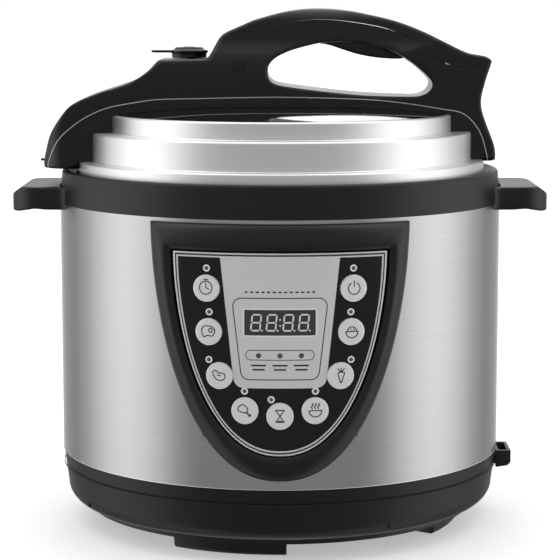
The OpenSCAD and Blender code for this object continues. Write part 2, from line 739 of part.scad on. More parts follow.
spoon_w = 13.5;
spoon_out = 8.6;
spoon_z = z_shell + 17.5;
module spoon_holder() {
    color(black) difference() {
        union() {
            along_y(spoon_w) polygon([[body_r - 3, spoon_z], [body_r + spoon_out - 2, spoon_z + 1.4],
                [body_r + spoon_out, spoon_z + 3.4],
                [body_r + spoon_out, spoon_z + 11], [body_r - 3, spoon_z + 11]]);
            for (y = [-6, 6]) translate([body_r - 6, y, z_shell + 20]) rotate([0, 90, 0])
                cylinder(r = 1.5, h = 6, $fn = 32);
        }
        difference() {
            translate([0, 0, z_shell]) cylinder(r = body_r - 0.1, h = 40, $fn = 180);
            for (y = [-6, 6]) translate([body_r - 6, y, z_shell + 20]) rotate([0, 90, 0])
                cylinder(r = 1.5, h = 12, $fn = 32);
        }
        translate([body_r + 1.2, -spoon_w + 2.5, spoon_z + 3.5])
            cube([spoon_out - 3.2, 2 * spoon_w - 5, 20]);
    }
}

// ---- Inner pot and lid ----

module inner_pot() {
    r1 = pot_r + pot_t;
    floor_t = 2.4;
    round_r = 14;
    rim = tooth_r - 8.5;
    color("#4a4b4d") rotate_extrude($fn = 180) polygon(concat(
        [[0, z_pot], [r1 - round_r, z_pot]], arc([r1 - round_r, z_pot + round_r], round_r, -90, 0, 10),
        [[r1, z_flange], [rim, z_flange], [rim, z_flange + 1.2]], arc([rim - 0.6, z_flange + 1.2], 0.6,
            0, 90, 3),
        [[pot_r + 1.5, z_flange + 1.8], [pot_r, z_flange + 0.3]],
        arc([r1 - round_r, z_pot + round_r], round_r - pot_t, 0, -90, 10), [[0, z_pot + floor_t]]));
}

z_seal = z_flange + 1.8 + gap;
seal_out = lid_r2 - lid_t - gap;
seal_h = 11;
module sealing_ring() {
    color("#e4e2dc") rotate_extrude($fn = 180) polygon([
        [seal_out - 7.8, z_seal + 2], [seal_out - 6.6, z_seal], [seal_out - 2, z_seal],
        [seal_out, z_seal + 2], [seal_out, z_seal + seal_h], [seal_out - 6.9, z_seal + seal_h],
            [seal_out - 7.8, z_seal + seal_h - 1]]);
}

module ring_support() {
    r = seal_out - 8.1;
    color(metal) rotate_extrude($fn = 180)
        polygon([[r, z_seal + 1], [r, z_seal + seal_h + gap], [seal_out, z_seal + seal_h + gap],
        [seal_out, z_seal + seal_h + gap + 1], [r - 1, z_seal + seal_h + gap + 1],
            [r - 1, z_seal + 1]]);
}

function dome_z(r) = z_rim + dome_h * (1 - pow(r / (lid_r3 - 4), 2));

// Outside of the lid as [radius, height], from the skirt to the middle of the dome, moved outwards by d
function lid_line(d) = let (
        z1 = z_top + tier_1_h + d,
        z2 = z1 + tier_2_h,
        z3 = z2 + tier_3_h,
        q = 1.6 + max(0, d))
    concat([[lid_r1 + d, z_skirt]], arc([lid_r1 + d - q, z1 - q], q, 0, 90, 4),
        [[lid_r2 + d, z1]], arc([lid_r2 + d - q, z2 - q], q, 0, 90, 4),
        [[lid_r3 + d, z2]], arc([lid_r3 + d - q, z3 - q], q, 0, 90, 4),
        d == 0 ? [[lid_r3 - 2.6, z3], [lid_r3 - 3, z3 - 0.8], [lid_r3 - 3.8, z3 - 0.8]] : [],
        [for (i = [0:8]) let (r = (lid_r3 - 4) * (1 - i / 8)) [r, dome_z(r) + d]]);

lid_bolts = [[-0.6, 17], [-0.6, -17], [0.58, 7], [0.58, -7]];
module lid_shell() {
    q = 1.2;
    z1 = z_top + tier_1_h - lid_t;
    z2 = z1 + tier_2_h;
    inner = concat([for (i = [0:6]) let (r = (lid_r3 - 5) * i / 6) [r, dome_z(r) - lid_t]],
        [[lid_r3 - lid_t, z2 + tier_3_h - q], [lid_r3 - lid_t, z2], [lid_r2 - lid_t - q, z2],
            [lid_r2 - lid_t, z2 - q],
        [lid_r2 - lid_t, z1], [lid_r1 - lid_t, z1 - 0.4], [lid_r1 - lid_t, z_skirt]]);
    color(steel) difference() {
        union() {
            rotate_extrude($fn = 180) polygon(concat(lid_line(0), inner));
            for (i = [0:lug_n - 1]) translate([0, 0, z_skirt])
                sector(lug_in, lid_r1 - lid_t / 2, lug_t, 360 / lug_n * i, lug_span);
        }
        translate([valve_x, 0, z_top]) cylinder(r = pipe_r + 0.02, h = 60, $fn = 48);
        translate([float_x, 0, z_top]) cylinder(r = float_r + run_gap, h = 60, $fn = 48);
        for (p = lid_bolts) translate([p[0] * reach, p[1], z_top]) cylinder(r = 2.1, h = 60, $fn = 32);
    }
}

// Room that the lid takes up under its handle
module lid_room() {
    rotate_extrude($fn = 180) polygon(concat([[0, z_skirt]], lid_line(0.15)));
}

function width_line(k) = let (side = curve([for (w = WIDTHS) [w[0] * reach, w[1] * wing_w + k]], 2))
    concat([for (p = side) [p[0], -p[1]]], flip(side));

// The whole handle as one block: its side view, its plan and its cross-section
module handle_block(k) {
    outline = concat(curve(hp(WING), 3), curve(hp(HUMP), 3), curve(hp(ARCH), 3), curve(hp(HEEL), 3));
    intersection() {
        along_y(wing_w + 4) polygon(outline);
        translate([0, 0, z_skirt]) linear_extrude(height = 150) polygon(width_line(k));
        translate([-1.2 * reach, 0, 0]) rotate([90, 0, 90]) linear_extrude(height = 2.4 * reach)
            polygon([
            [-wing_w - 2, z_skirt], [wing_w + 2, z_skirt], [wing_w + 1, hz(4)], [wing_w - 4, hz(20)],
                [wing_w - 9, hz(34)],
            [grip_w + 2, hz(46)], [grip_w - 1, hz(58)], [grip_w - 5, hz(63)], [grip_w - 12, hz(66)],
            [12 - grip_w, hz(66)], [5 - grip_w, hz(63)], [1 - grip_w, hz(58)], [-grip_w - 2, hz(46)],
            [9 - wing_w, hz(34)], [4 - wing_w, hz(20)], [-wing_w - 1, hz(4)]]);
        translate([0, 0, z_skirt]) cylinder(r = reach + 0.2, h = 150, $fn = 180);
    }
}

// Side view of the part below the handle's lower seam
module below_parting(d) {
    line = curve(hp(PARTING), 3);
    polygon(concat([for (p = line) [p[0], p[1] - d]], [[line[len(line) - 1][0], z_top + gap],
        [line[0][0], z_top + gap]]));
}

module above_seam(d) {
    line = curve(hp(GRIP_SEAM), 3);
    polygon(concat([[line[0][0] + d, z_rim + 90]], [for (p = line) [p[0] + d, p[1] + d]],
        [[reach, hz(33) + d], [reach, z_rim + 90]]));
}

module bridge_base() {
    color(black) difference() {
        intersection() {
            handle_block(-1.5);
            along_y(wing_w + 4) below_parting(0.1);
        }
        lid_room();
        translate([valve_x, 0, z_top]) cylinder(r = pipe_r + 0.3, h = 90, $fn = 48);
        translate([float_x, 0, z_top]) cylinder(r = float_r + 0.3, h = 90, $fn = 48);
        for (p = lid_bolts) translate([p[0] * reach, p[1], z_top]) cylinder(r = 1.82, h = 60, $fn = 32);
    }
}

// Pocket in the grip for the release lever
LEVER_POCKET = [[0.135, 30], [0.135, 55.2], [0.2, 55.2], [0.345, 52.6], [0.48, 49], [0.56, 45.5],
    [0.56, 30]];
module bridge_cover() {
    // small plate with a peg at the end of the wing
    color(black) translate([-reach - 1.2, -4, hz(-0.967)]) union() {
        cube([3.2, 8, 7]);
        translate([-3.6, 4, 3.4]) rotate([0, 90, 0]) cylinder(r = 0.8, h = 4, $fn = 24);
    }
    color(black) difference() {
        handle_block(0);
        along_y(wing_w + 4) below_parting(0);
        along_y(wing_w + 4) above_seam(-0.05);
        along_y(wing_w + 4) polygon(loop(hp(HOLE), 3));
        along_y(9) polygon(hp(LEVER_POCKET));
        lid_room();
        // vent pipe, float pin, latch rod and lever pin
        translate([valve_x, 0, z_top]) cylinder(r = pipe_r + 0.3, h = 90, $fn = 48);
        translate([float_x, 0, z_top]) cylinder(r = float_r + run_gap, h = hz(46.5) - z_top, $fn = 48);
        translate([rod_tip - 1.2, 0, rod_z]) rotate([0, 90, 0])
            cylinder(r = rod_r + run_gap, h = rod_end + 2 - rod_tip, $fn = 32);
        translate([lever_x, 11, lever_z]) rotate([90, 0, 0]) cylinder(r = pin_r + 0.02, h = 22,
            $fn = 32);
        for (p = lid_bolts) translate([p[0] * reach, p[1], z_top]) cylinder(r = 1.82, h = hz(14)
            - z_top, $fn = 32);
    }
}

module grip_cover() {
    color(black) intersection() {
        handle_block(0);
        along_y(wing_w + 4) above_seam(0.05);
        translate([-0.18 * reach, -wing_w, z_rim]) cube([1.2 * reach, 2 * wing_w, 90]);
    }
}

module lid_screws() {
    color(metal) for (p = lid_bolts) {
        r = norm([p[0] * reach, p[1]]);
        translate([p[0] * reach, p[1], dome_z(r) - lid_t - 2.9]) screw(4, 2, 1.8, 12);
    }
}

LEVER = [
    [0.153, 43.8], [0.215, 41.7], [0.28, 38.6], [0.345, 35.9], [0.43, 34], [0.515, 33.6],
    [0.528, 35.5], [0.522, 38.5], [0.45, 43.5], [0.345, 47], [0.25, 49.5], [0.19, 50.6], [0.15, 47.5]
];
module release_lever() {
    color(black) difference() {
        union() {
            along_y(8.3) polygon(loop(hp(LEVER), 2));
            translate([lever_x, 8.3, lever_z]) rotate([90, 0, 0]) cylinder(r = lever_hub, h = 16.6,
                $fn = 48);
            translate([lever_x - 1.5, -8.3, lever_z]) cube([3, 16.6, rod_z + rod_r - 0.3 - lever_z]);
        }
        translate([lever_x, 12, lever_z]) rotate([90, 0, 0]) cylinder(r = pin_r + run_gap, h = 24,
            $fn = 48);
    }
}

module lever_pin() {
    color(metal) translate([lever_x, 10.8, lever_z]) rotate([90, 0, 0]) cylinder(r = pin_r, h = 21.6,
        $fn = 48);
}

module latch_rod() {
    color(metal) translate([rod_tip, 0, rod_z]) rotate([0, 90, 0])
        cylinder(r = rod_r, h = rod_end - rod_tip, $fn = 32);
}

module steam_valve() {
    h = 6.4;
    color(black) translate([valve_x, 0, deck_z + 0.3]) difference() {
        union() {
            rotate_extrude($fn = 96) polygon([[0, 0], [valve_r - 1.4, 0], [valve_r - 0.8, 1],
                [valve_r - 0.8, 2.6], [valve_r, 3.4],
                [valve_r, 4.6], [valve_r - 0.7, 5.4], [valve_r - 3, h], [0, h + 0.6]]);
            translate([-23.5, -5, 3.1]) cube([18, 10, 1.5]);
            translate([-23.5, 0, 3.1]) cylinder(r = 5, h = 1.5, $fn = 48);
        }
        translate([0, 0, -1]) cylinder(r = pipe_r + run_gap, h = 5.4, $fn = 48);
    }
}

module vent_pipe() {
    under = dome_z(abs(valve_x)) - lid_t;
    color(metal) translate([valve_x, 0, 0]) difference() {
        union() {
            translate([0, 0, under - 7]) cylinder(r = pipe_r, h = deck_z + 4 - under + 7, $fn = 48);
            translate([0, 0, under - 5.2]) cylinder(r = 7, h = 4, $fn = 6);
            translate([0, 0, under - 15]) cylinder(r = 9, h = 9, $fn = 48);
        }
        translate([0, 0, under - 16]) cylinder(r = 1.2, h = 90, $fn = 32);
        translate([0, 0, under - 16]) cylinder(r = 7.6, h = 8.4, $fn = 48);
        for (a = [0:45:315]) rotate([0, 0, a]) translate([6, 0, under - 11]) rotate([0, 90, 0])
            cylinder(r = 1.2, h = 5, $fn = 24);
    }
}

z_float = dome_z(abs(float_x)) - lid_t - float_travel - 5;
module float_pin() {
    color("#b23a32") translate([float_x, 0, 0]) union() {
        translate([0, 0, z_float + 3]) cylinder(r = float_r, h = hz(41.5) - z_float - 3, $fn = 48);
        translate([0, 0, z_float]) cylinder(r = 3.4, h = 3.1, $fn = 48);
    }
}

module float_seal() {
    color("#e4e2dc") translate([float_x, 0, z_float + 3.1]) difference() {
        cylinder(r = 5.5, h = 1.6, $fn = 48);
        translate([0, 0, -1]) cylinder(r = float_r, h = 4, $fn = 48);
    }
}

bottom_cover();
base_shell();
foot_1();
foot_2();
foot_3();
foot_4();
base_screws();
body_sheet();
upper_ring();
handle_left();
handle_right();
handle_screws();
outer_pot();
heating_plate();
heating_element();
spring_plate();
pressure_switch();
thermostat();
thermal_sensor();
sensor_spring();
power_board();
power_parts();
power_inlet();
inlet_pins();
control_bezel();
panel_face();
panel_trim();
display_window();
display_module();
control_board();
key_switches();
light_pipes();
panel_screws();
condensation_collector();
collector_bracket();
spoon_holder();
button_timer();
button_meat();
button_beans();
button_chicken();
button_time_set();
button_soup();
button_vegetables();
button_rice();
button_keep_warm();
inner_pot();
sealing_ring();
ring_support();
lid_shell();
bridge_base();
bridge_cover();
grip_cover();
lid_screws();
release_lever();
lever_pin();
latch_rod();
steam_valve();
vent_pipe();
float_pin();
float_seal();
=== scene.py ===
import math

import bmesh
import bpy
from mathutils import Matrix, Vector


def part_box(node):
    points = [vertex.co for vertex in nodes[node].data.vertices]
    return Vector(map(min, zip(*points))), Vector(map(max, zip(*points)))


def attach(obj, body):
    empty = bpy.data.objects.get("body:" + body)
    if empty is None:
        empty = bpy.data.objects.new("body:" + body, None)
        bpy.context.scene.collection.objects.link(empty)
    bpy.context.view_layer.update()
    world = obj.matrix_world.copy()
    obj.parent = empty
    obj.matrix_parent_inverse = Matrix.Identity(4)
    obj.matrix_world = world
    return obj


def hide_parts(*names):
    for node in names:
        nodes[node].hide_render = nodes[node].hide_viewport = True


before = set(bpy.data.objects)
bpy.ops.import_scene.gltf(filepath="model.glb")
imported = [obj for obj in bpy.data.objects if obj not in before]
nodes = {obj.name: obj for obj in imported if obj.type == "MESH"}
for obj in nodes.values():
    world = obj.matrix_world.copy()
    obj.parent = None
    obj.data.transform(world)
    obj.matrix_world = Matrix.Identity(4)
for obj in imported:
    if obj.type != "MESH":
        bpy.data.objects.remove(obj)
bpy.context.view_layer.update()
mm = 0.001


def corners(name):  # a node's lowest and highest corners in millimetres
    low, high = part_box(name)
    return low / mm, high / mm


sheetLow, sheetHigh = corners("body_sheet")
bodyR = sheetHigh.x
ringTop = corners("upper_ring")[1].z
print("frame loaded, body radius", round(bodyR, 1))


# shapes, in millimetres: X to the right, -Y to the front, Z up

def arc(centre, radius, start, end, steps):
    turn = [math.radians(start + (end - start) * i / steps) for i in range(steps + 1)]
    return [(centre[0] + radius * math.cos(a), centre[1] + radius * math.sin(a)) for a in turn]


def softLine(points, steps, closed=False):  # a smooth curve through the points
    n = len(points)
    out = []
    for i in range(n if closed else n - 1):
        a, b, c, d = [points[(i + k) % n if closed else max(0, min(n - 1, i + k))] for k in (-1, 0, 1, 2)]
        for k in range(steps):
            t = k / steps
            out.append(tuple(
                0.5 * (2 * b[j] + (c[j] - a[j]) * t + (2 * a[j] - 5 * b[j] + 4 * c[j] - d[j]) * t * t
                       + (3 * b[j] - a[j] - 3 * c[j] + d[j]) * t ** 3) for j in range(len(b))))
    return out if closed else out + [tuple(points[-1])]


shieldShape = {"side": 30, "top": 40, "crowding": 1.9, "belly": 1.8, "foot": 0.456}


def shield(half, low, high):  # level top, round foot; as arc lengths round the body
    side = []
    for i in range(1, shieldShape["side"] + 1):
        t = (i / shieldShape["side"]) ** shieldShape["crowding"]    # points stand closer near the foot
        width = half * (1 - (1 - t) ** shieldShape["belly"]) ** shieldShape["foot"]
        side.append((width, low + (high - low) * t))
    across = shieldShape["top"]
    top = [(half - 2 * half * i / across, high) for i in range(1, across)]
    return [(0, low)] + side + top + [(-x, z) for x, z in reversed(side)]


def loopOf(bm, outline, depth):  # outline in X and Z, standing at Y = -depth
    ring = [bm.verts.new((x, -depth, z)) for x, z in outline]
    return [bm.edges.new((ring[i - 1], ring[i])) for i in range(len(ring))]


def slab(outline, front, back):  # a plate with this outline, from Y = -front to Y = -back
    bm = bmesh.new()
    face = bm.faces.new([bm.verts.new((x, -front, z)) for x, z in outline])
    out = bmesh.ops.extrude_face_region(bm, geom=[face])
    moved = [v for v in out["geom"] if isinstance(v, bmesh.types.BMVert)]
    bmesh.ops.translate(bm, verts=moved, vec=(0, front - back, 0))
    bmesh.ops.recalc_face_normals(bm, faces=bm.faces)
    return bm


def rings(loops, closed=True):  # bridges outlines of one length, each (outline, depth)
    bm = bmesh.new()
    made = [loopOf(bm, outline, depth) for outline, depth in loops]
    pairs = list(zip(made, made[1:])) + ([(made[-1], made[0])] if closed else [])
    for a, b in pairs:
        bmesh.ops.bridge_loops(bm, edges=a + b)
    bmesh.ops.recalc_face_normals(bm, faces=bm.faces)
    return bm


def slices(bm, step):  # cuts across X, so that a flat shape can bend round the body
    xs = [v.co.x for v in bm.verts]
    x = math.floor(min(xs) / step) * step
    while x < max(xs):
        geom = bm.verts[:] + bm.edges[:] + bm.faces[:]
        bmesh.ops.bisect_plane(bm, geom=geom, plane_co=(x, 0, 0), plane_no=(1, 0, 0), dist=1e-5)
        x += step


def wrap(bm, radius):  # bends a shape round Z: X is arc length, -Y is the distance out
    for v in bm.verts:
        a = v.co.x / radius
        r = -v.co.y
        v.co.x, v.co.y = r * math.sin(a), -r * math.cos(a)


def spun(profile, steps=144, sweep=360, closed=True):  # [radius, height] turned about Z
    bm = bmesh.new()
    ring = [bm.verts.new((r, 0, z)) for r, z in profile]
    edges = [bm.edges.new(pair) for pair in zip(ring, ring[1:])]
    if closed:
        edges.append(bm.edges.new((ring[-1], ring[0])))
    full = sweep == 360
    bmesh.ops.spin(bm, geom=ring + edges, axis=(0, 0, 1), cent=(0, 0, 0), dvec=(0, 0, 0),
                   angle=math.radians(sweep), steps=steps, use_merge=full)
    bmesh.ops.remove_doubles(bm, verts=bm.verts, dist=1e-4)
    if not full:
        bmesh.ops.holes_fill(bm, edges=[e for e in bm.edges if e.is_boundary], sides=0)
    bmesh.ops.recalc_face_normals(bm, faces=bm.faces)
    return bm


def placed(bm, matrix):
    bmesh.ops.transform(bm, matrix=matrix, verts=bm.verts)
    return bm


def joined(parts, slots=None):  # one bmesh from several; slots gives each part's material index
    bm = bmesh.new()
    for i, part in enumerate(parts):
        if slots:
            for f in part.faces:
                f.material_index = slots[i]
        mesh = bpy.data.meshes.new("part")
        part.to_mesh(mesh)
        part.free()
        bm.from_mesh(mesh)
        bpy.data.meshes.remove(mesh)
    return bm


def meshed(bm, name):
    mesh = bpy.data.meshes.new(name)
    bm.to_mesh(mesh)
    bm.free()
    obj = bpy.data.objects.new(name, mesh)
    bpy.context.scene.collection.objects.link(obj)
    return obj


def settle(obj):  # applies the object's modifiers and hands back its bmesh
    bpy.context.view_layer.update()
    shown = obj.evaluated_get(bpy.context.evaluated_depsgraph_get())
    bm = bmesh.new()
    bm.from_mesh(shown.to_mesh())
    shown.to_mesh_clear()
    mesh = obj.data
    bpy.data.objects.remove(obj)
    bpy.data.meshes.remove(mesh)
    return bm


def cut(bm, cutters, operation="DIFFERENCE"):  # one cutter after another
    for cutter in cutters:
        a, b = meshed(bm, "whole"), meshed(cutter, "cutter")
        for obj in (a, b):
            for _ in range(2):
                obj.data.materials.append(None)    # room for the faces' material numbers
        change = a.modifiers.new("cut", "BOOLEAN")
        change.operation = operation
        change.solver = "EXACT"
        change.object = b
        bm = settle(a)
        mesh = b.data
        bpy.data.objects.remove(b)
        bpy.data.meshes.remove(mesh)
    return bm


def softened(bm, voxel, rounds):  # one skin with rounded edges
    obj = meshed(bm, "soft")
    skin = obj.modifiers.new("skin", "REMESH")
    skin.mode = "VOXEL"
    skin.voxel_size = voxel
    bm = settle(obj)
    for _ in range(rounds):
        bmesh.ops.smooth_vert(bm, verts=bm.verts, factor=0.5,
                              use_axis_x=True, use_axis_y=True, use_axis_z=True)
    return bm


def rounded(bm, axis, offset, segments):  # rounds the edges that run level across an axis
    rims = [e for e in bm.edges if abs(e.verts[0].co[axis] - e.verts[1].co[axis]) < 0.01]
    bmesh.ops.bevel(bm, geom=rims, offset=offset, offset_type="OFFSET", segments=segments, profile=0.5,
                    affect="EDGES", material=-1)
    return bm


def mergedCopy(name):  # a node's own shape, its doubles merged
    bm = bmesh.new()
    bm.from_mesh(nodes[name].data)
    placed(bm, Matrix.Scale(1 / mm, 4))
    bmesh.ops.remove_doubles(bm, verts=bm.verts, dist=0.003)
    return bm


edgeTurns = {"flat": math.radians(2), "sharp": math.radians(32), "segments": 3}


def softEdges(name, offset):  # a copy of a node, with its sharp edges rounded
    bm = mergedCopy(name)
    bmesh.ops.dissolve_limit(bm, angle_limit=edgeTurns["flat"], use_dissolve_boundaries=False, verts=bm.verts,
                             edges=bm.edges, delimit=set())
    edges = [e for e in bm.edges if len(e.link_faces) == 2 and e.calc_face_angle(0) > edgeTurns["sharp"]]
    bmesh.ops.bevel(bm, geom=edges, offset=offset, offset_type="OFFSET", segments=edgeTurns["segments"],
                    profile=0.5, affect="EDGES", clamp_overlap=True, material=-1)
    return bm


def piece(bm, name, body, materials, stands=(), sharp=34):  # edges that turn past sharp stay crisp
    bmesh.ops.transform(bm, matrix=Matrix.Scale(mm, 4), verts=bm.verts)
    for f in bm.faces:
        f.smooth = True
    limit = math.radians(sharp)
    for e in bm.edges:
        e.smooth = len(e.link_faces) == 2 and e.calc_face_angle(0) < limit
    obj = meshed(bm, name)
    for m in materials:
        obj.data.materials.append(m)
    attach(obj, body)
    if stands:
        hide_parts(*stands)
    return obj


# shared effects, then a material for each finish

def newGroup(name, inputs, outputs):
    group = bpy.data.node_groups.new(name, "ShaderNodeTree")
    for label, kind, value in inputs:
        socket = group.interface.new_socket(name=label, in_out="INPUT", socket_type="NodeSocket" + kind)
        socket.default_value = value
    for label, kind in outputs:
        group.interface.new_socket(name=label, in_out="OUTPUT", socket_type="NodeSocket" + kind)
    tree = group.nodes
    return group, tree.new("NodeGroupInput"), tree.new("NodeGroupOutput")


def add(tree, kind, links, **settings):  # a node, its settings and its inputs
    node = tree.nodes.new("ShaderNode" + kind)
    for key, value in settings.items():
        if not key.startswith("in_"):
            setattr(node, key, value)
    for key, value in settings.items():
        if key.startswith("in_"):
            socket = key[3:]
            node.inputs[int(socket) if socket.isdigit() else socket.replace("_", " ")].default_value = value
    for socket, source in links.items():
        tree.links.new(source, node.inputs[socket])
    return node


def makeGrain():  # fine moulded texture, with slow patches in gloss
    group, start, end = newGroup("mouldedGrain", [
        ("Grain Scale", "Float", 2600), ("Patch Scale", "Float", 22), ("Base", "Float", 0.4),
        ("Spread", "Float", 0.1),
    ], [("Height", "Float"), ("Roughness", "Float"), ("Patch", "Float")])
    place = add(group, "TexCoord", {})
    fine = add(group, "TexNoise", {"Vector": place.outputs["Object"], "Scale": start.outputs["Grain Scale"]},
               in_Detail=3)
    slow = add(group, "TexNoise", {"Vector": place.outputs["Object"], "Scale": start.outputs["Patch Scale"]},
               in_Detail=4)
    middle = add(group, "Math", {0: slow.outputs["Fac"]}, operation="SUBTRACT", in_1=0.5)
    spread = add(group, "Math", {0: middle.outputs[0], 1: start.outputs["Spread"]}, operation="MULTIPLY")
    rough = add(group, "Math", {0: spread.outputs[0], 1: start.outputs["Base"]}, operation="ADD",
                use_clamp=True)
    group.links.new(fine.outputs["Fac"], end.inputs["Height"])
    group.links.new(rough.outputs[0], end.inputs["Roughness"])
    group.links.new(slow.outputs["Fac"], end.inputs["Patch"])
    return group


def makeBrushing():  # fine lines that run round Z
    group, start, end = newGroup("roundBrushing", [
        ("Lines", "Float", 900), ("Along", "Float", 9), ("Base", "Float", 0.3), ("Spread", "Float", 0.1),
    ], [("Height", "Float"), ("Roughness", "Float"), ("Shade", "Float")])
    place = add(group, "TexCoord", {})
    parts = add(group, "SeparateXYZ", {"Vector": place.outputs["Object"]})
    flat = add(group, "CombineXYZ", {"X": parts.outputs["X"], "Y": parts.outputs["Y"]})
    radius = add(group, "VectorMath", {0: flat.outputs[0]}, operation="LENGTH")
    across = add(group, "Math", {0: radius.outputs["Value"], 1: start.outputs["Lines"]}, operation="MULTIPLY")
    up = add(group, "Math", {0: parts.outputs["Z"], 1: start.outputs["Lines"]}, operation="MULTIPLY")
    along = add(group, "Math", {0: parts.outputs["X"], 1: start.outputs["Along"]}, operation="MULTIPLY")
    spot = add(group, "CombineXYZ", {"X": across.outputs[0], "Y": up.outputs[0], "Z": along.outputs[0]})
    lines = add(group, "TexNoise", {"Vector": spot.outputs[0]}, in_Scale=1.0, in_Detail=5, in_Roughness=0.65)
    slow = add(group, "TexNoise", {"Vector": place.outputs["Object"]}, in_Scale=14.0, in_Detail=3)
    mixed = add(group, "Math", {0: lines.outputs["Fac"], 1: slow.outputs["Fac"]}, operation="ADD")
    middle = add(group, "Math", {0: mixed.outputs[0]}, operation="SUBTRACT", in_1=1.0)
    spread = add(group, "Math", {0: middle.outputs[0], 1: start.outputs["Spread"]}, operation="MULTIPLY")
    rough = add(group, "Math", {0: spread.outputs[0], 1: start.outputs["Base"]}, operation="ADD",
                use_clamp=True)
    group.links.new(lines.outputs["Fac"], end.inputs["Height"])
    group.links.new(rough.outputs[0], end.inputs["Roughness"])
    group.links.new(lines.outputs["Fac"], end.inputs["Shade"])
    return group


def makeScuffs():  # sparse hairline marks and dust, as a mask
    group, start, end = newGroup("handlingMarks", [
        ("Scale", "Float", 60), ("Amount", "Float", 0.3),
    ], [("Mask", "Float")])
    place = add(group, "TexCoord", {})
    bent = add(group, "TexNoise", {"Vector": place.outputs["Object"]}, in_Scale=9.0, in_Detail=2)
    shifted = add(group, "VectorMath", {0: place.outputs["Object"], 1: bent.outputs["Color"]},
                  operation="ADD")
    cells = add(group, "TexVoronoi", {"Vector": shifted.outputs[0], "Scale": start.outputs["Scale"]},
                feature="DISTANCE_TO_EDGE")
    thin = add(group, "MapRange", {"Value": cells.outputs["Distance"]}, in_1=0.0, in_2=0.02, in_3=1.0,
               in_4=0.0)
    where = add(group, "TexNoise", {"Vector": place.outputs["Object"]}, in_Scale=30.0, in_Detail=5)
    some = add(group, "MapRange", {"Value": where.outputs["Fac"]}, in_1=0.55, in_2=0.7, in_3=0.0, in_4=1.0)
    both = add(group, "Math", {0: thin.outputs[0], 1: some.outputs[0]}, operation="MULTIPLY")
    mask = add(group, "Math", {0: both.outputs[0], 1: start.outputs["Amount"]}, operation="MULTIPLY",
               use_clamp=True)
    group.links.new(mask.outputs[0], end.inputs["Mask"])
    return group


grainGroup = makeGrain()
brushGroup = makeBrushing()
scuffGroup = makeScuffs()


def newMaterial(name, **shader):
    material = bpy.data.materials.new(name)
    material.use_nodes = True
    tree = material.node_tree
    bsdf = tree.nodes["Principled BSDF"]
    for key, value in shader.items():
        bsdf.inputs[key.replace("_", " ")].default_value = value
    return material, tree, bsdf


def grey(v, warm=0.0):
    return (v * (1 + warm), v, v * (1 - warm), 1)


def groupNode(tree, group, **values):
    node = tree.nodes.new("ShaderNodeGroup")
    node.node_tree = group
    for key, value in values.items():
        node.inputs[key.replace("_", " ")].default_value = value
    return node


def plastic(name, dark, light, base, spread, bump=0.02, grain=2600, scuff=0.25, **shader):
    material, tree, bsdf = newMaterial(name, **shader)
    texture = groupNode(tree, grainGroup, Grain_Scale=grain, Base=base, Spread=spread)
    marks = groupNode(tree, scuffGroup, Amount=scuff)
    wornTone = tuple(min(1, c * 1.8 + 0.01) for c in light[:3]) + (1,)
    tone = add(tree, "Mix", {"Factor": texture.outputs["Patch"]}, data_type="RGBA", in_6=dark, in_7=light)
    worn = add(tree, "Mix", {"Factor": marks.outputs["Mask"], 6: tone.outputs[2]}, data_type="RGBA",
               in_7=wornTone)
    tree.links.new(worn.outputs[2], bsdf.inputs["Base Color"])
    tree.links.new(texture.outputs["Roughness"], bsdf.inputs["Roughness"])
    raised = add(tree, "Bump", {"Height": texture.outputs["Height"]}, in_Strength=0.25, in_Distance=bump * mm)
    tree.links.new(raised.outputs[0], bsdf.inputs["Normal"])
    return material


def brushed(name, dark, light, base, spread, lines=900, strength=0.06, turned=0.25, stretch=0.75):
    material, tree, bsdf = newMaterial(name, Metallic=1.0, Anisotropic=stretch, Anisotropic_Rotation=turned)
    lineNode = groupNode(tree, brushGroup, Lines=lines, Base=base, Spread=spread)
    tone = add(tree, "Mix", {"Factor": lineNode.outputs["Shade"]}, data_type="RGBA", in_6=dark, in_7=light)
    tree.links.new(tone.outputs[2], bsdf.inputs["Base Color"])
    tree.links.new(lineNode.outputs["Roughness"], bsdf.inputs["Roughness"])
    raised = add(tree, "Bump", {"Height": lineNode.outputs["Height"]}, in_Strength=strength,
                 in_Distance=0.02 * mm)
    tree.links.new(raised.outputs[0], bsdf.inputs["Normal"])
    around = add(tree, "Tangent", {}, direction_type="RADIAL", axis="Z")
    tree.links.new(around.outputs[0], bsdf.inputs["Tangent"])
    return material


baseBlack = plastic("baseBlack", grey(0.004), grey(0.006), 0.36, 0.12, bump=0.03, Specular_IOR_Level=0.42)
handleBlack = plastic("handleBlack", grey(0.003), grey(0.005), 0.26, 0.1, bump=0.015, scuff=0.15,
                      Specular_IOR_Level=0.42)
# light grey plastic for the strip in the parting seam: a painted highlight along its edge
seamShine = plastic("seamShine", grey(0.34), grey(0.6), 0.3, 0.1, bump=0.01, scuff=0.1)
bezelBlack = plastic("bezelBlack", grey(0.005), grey(0.007), 0.30, 0.1, bump=0.015, Specular_IOR_Level=0.42)
panelBlack = plastic("panelBlack", grey(0.004), grey(0.006), 0.22, 0.06, bump=0.006, scuff=0.1,
                     Specular_IOR_Level=0.35)
# matte black: painted shade in the lid's ditch round the dome, and the base crease's own black
innerBlack = plastic("innerBlack", grey(0.004), grey(0.006), 0.6, 0.1)
sheetSteel = brushed("sheetSteel", grey(0.50, 0.012), grey(0.60, 0.012), 0.26, 0.08)
lidSteel = brushed("lidSteel", grey(0.92, 0.012), grey(0.98, 0.012), 0.38, 0.08, lines=700, strength=0.04,
                   turned=0.0, stretch=0.1)
plainSteel = brushed("plainSteel", grey(0.52), grey(0.62), 0.22, 0.12, lines=500, strength=0.05, stretch=0.0)
mirrorSteel = brushed("mirrorSteel", grey(0.72), grey(0.78), 0.055, 0.03, lines=300, strength=0.015,
                      stretch=0.0)
castAlloy = plastic("castAlloy", grey(0.42), grey(0.5), 0.42, 0.2, bump=0.05, grain=900, Metallic=1.0)
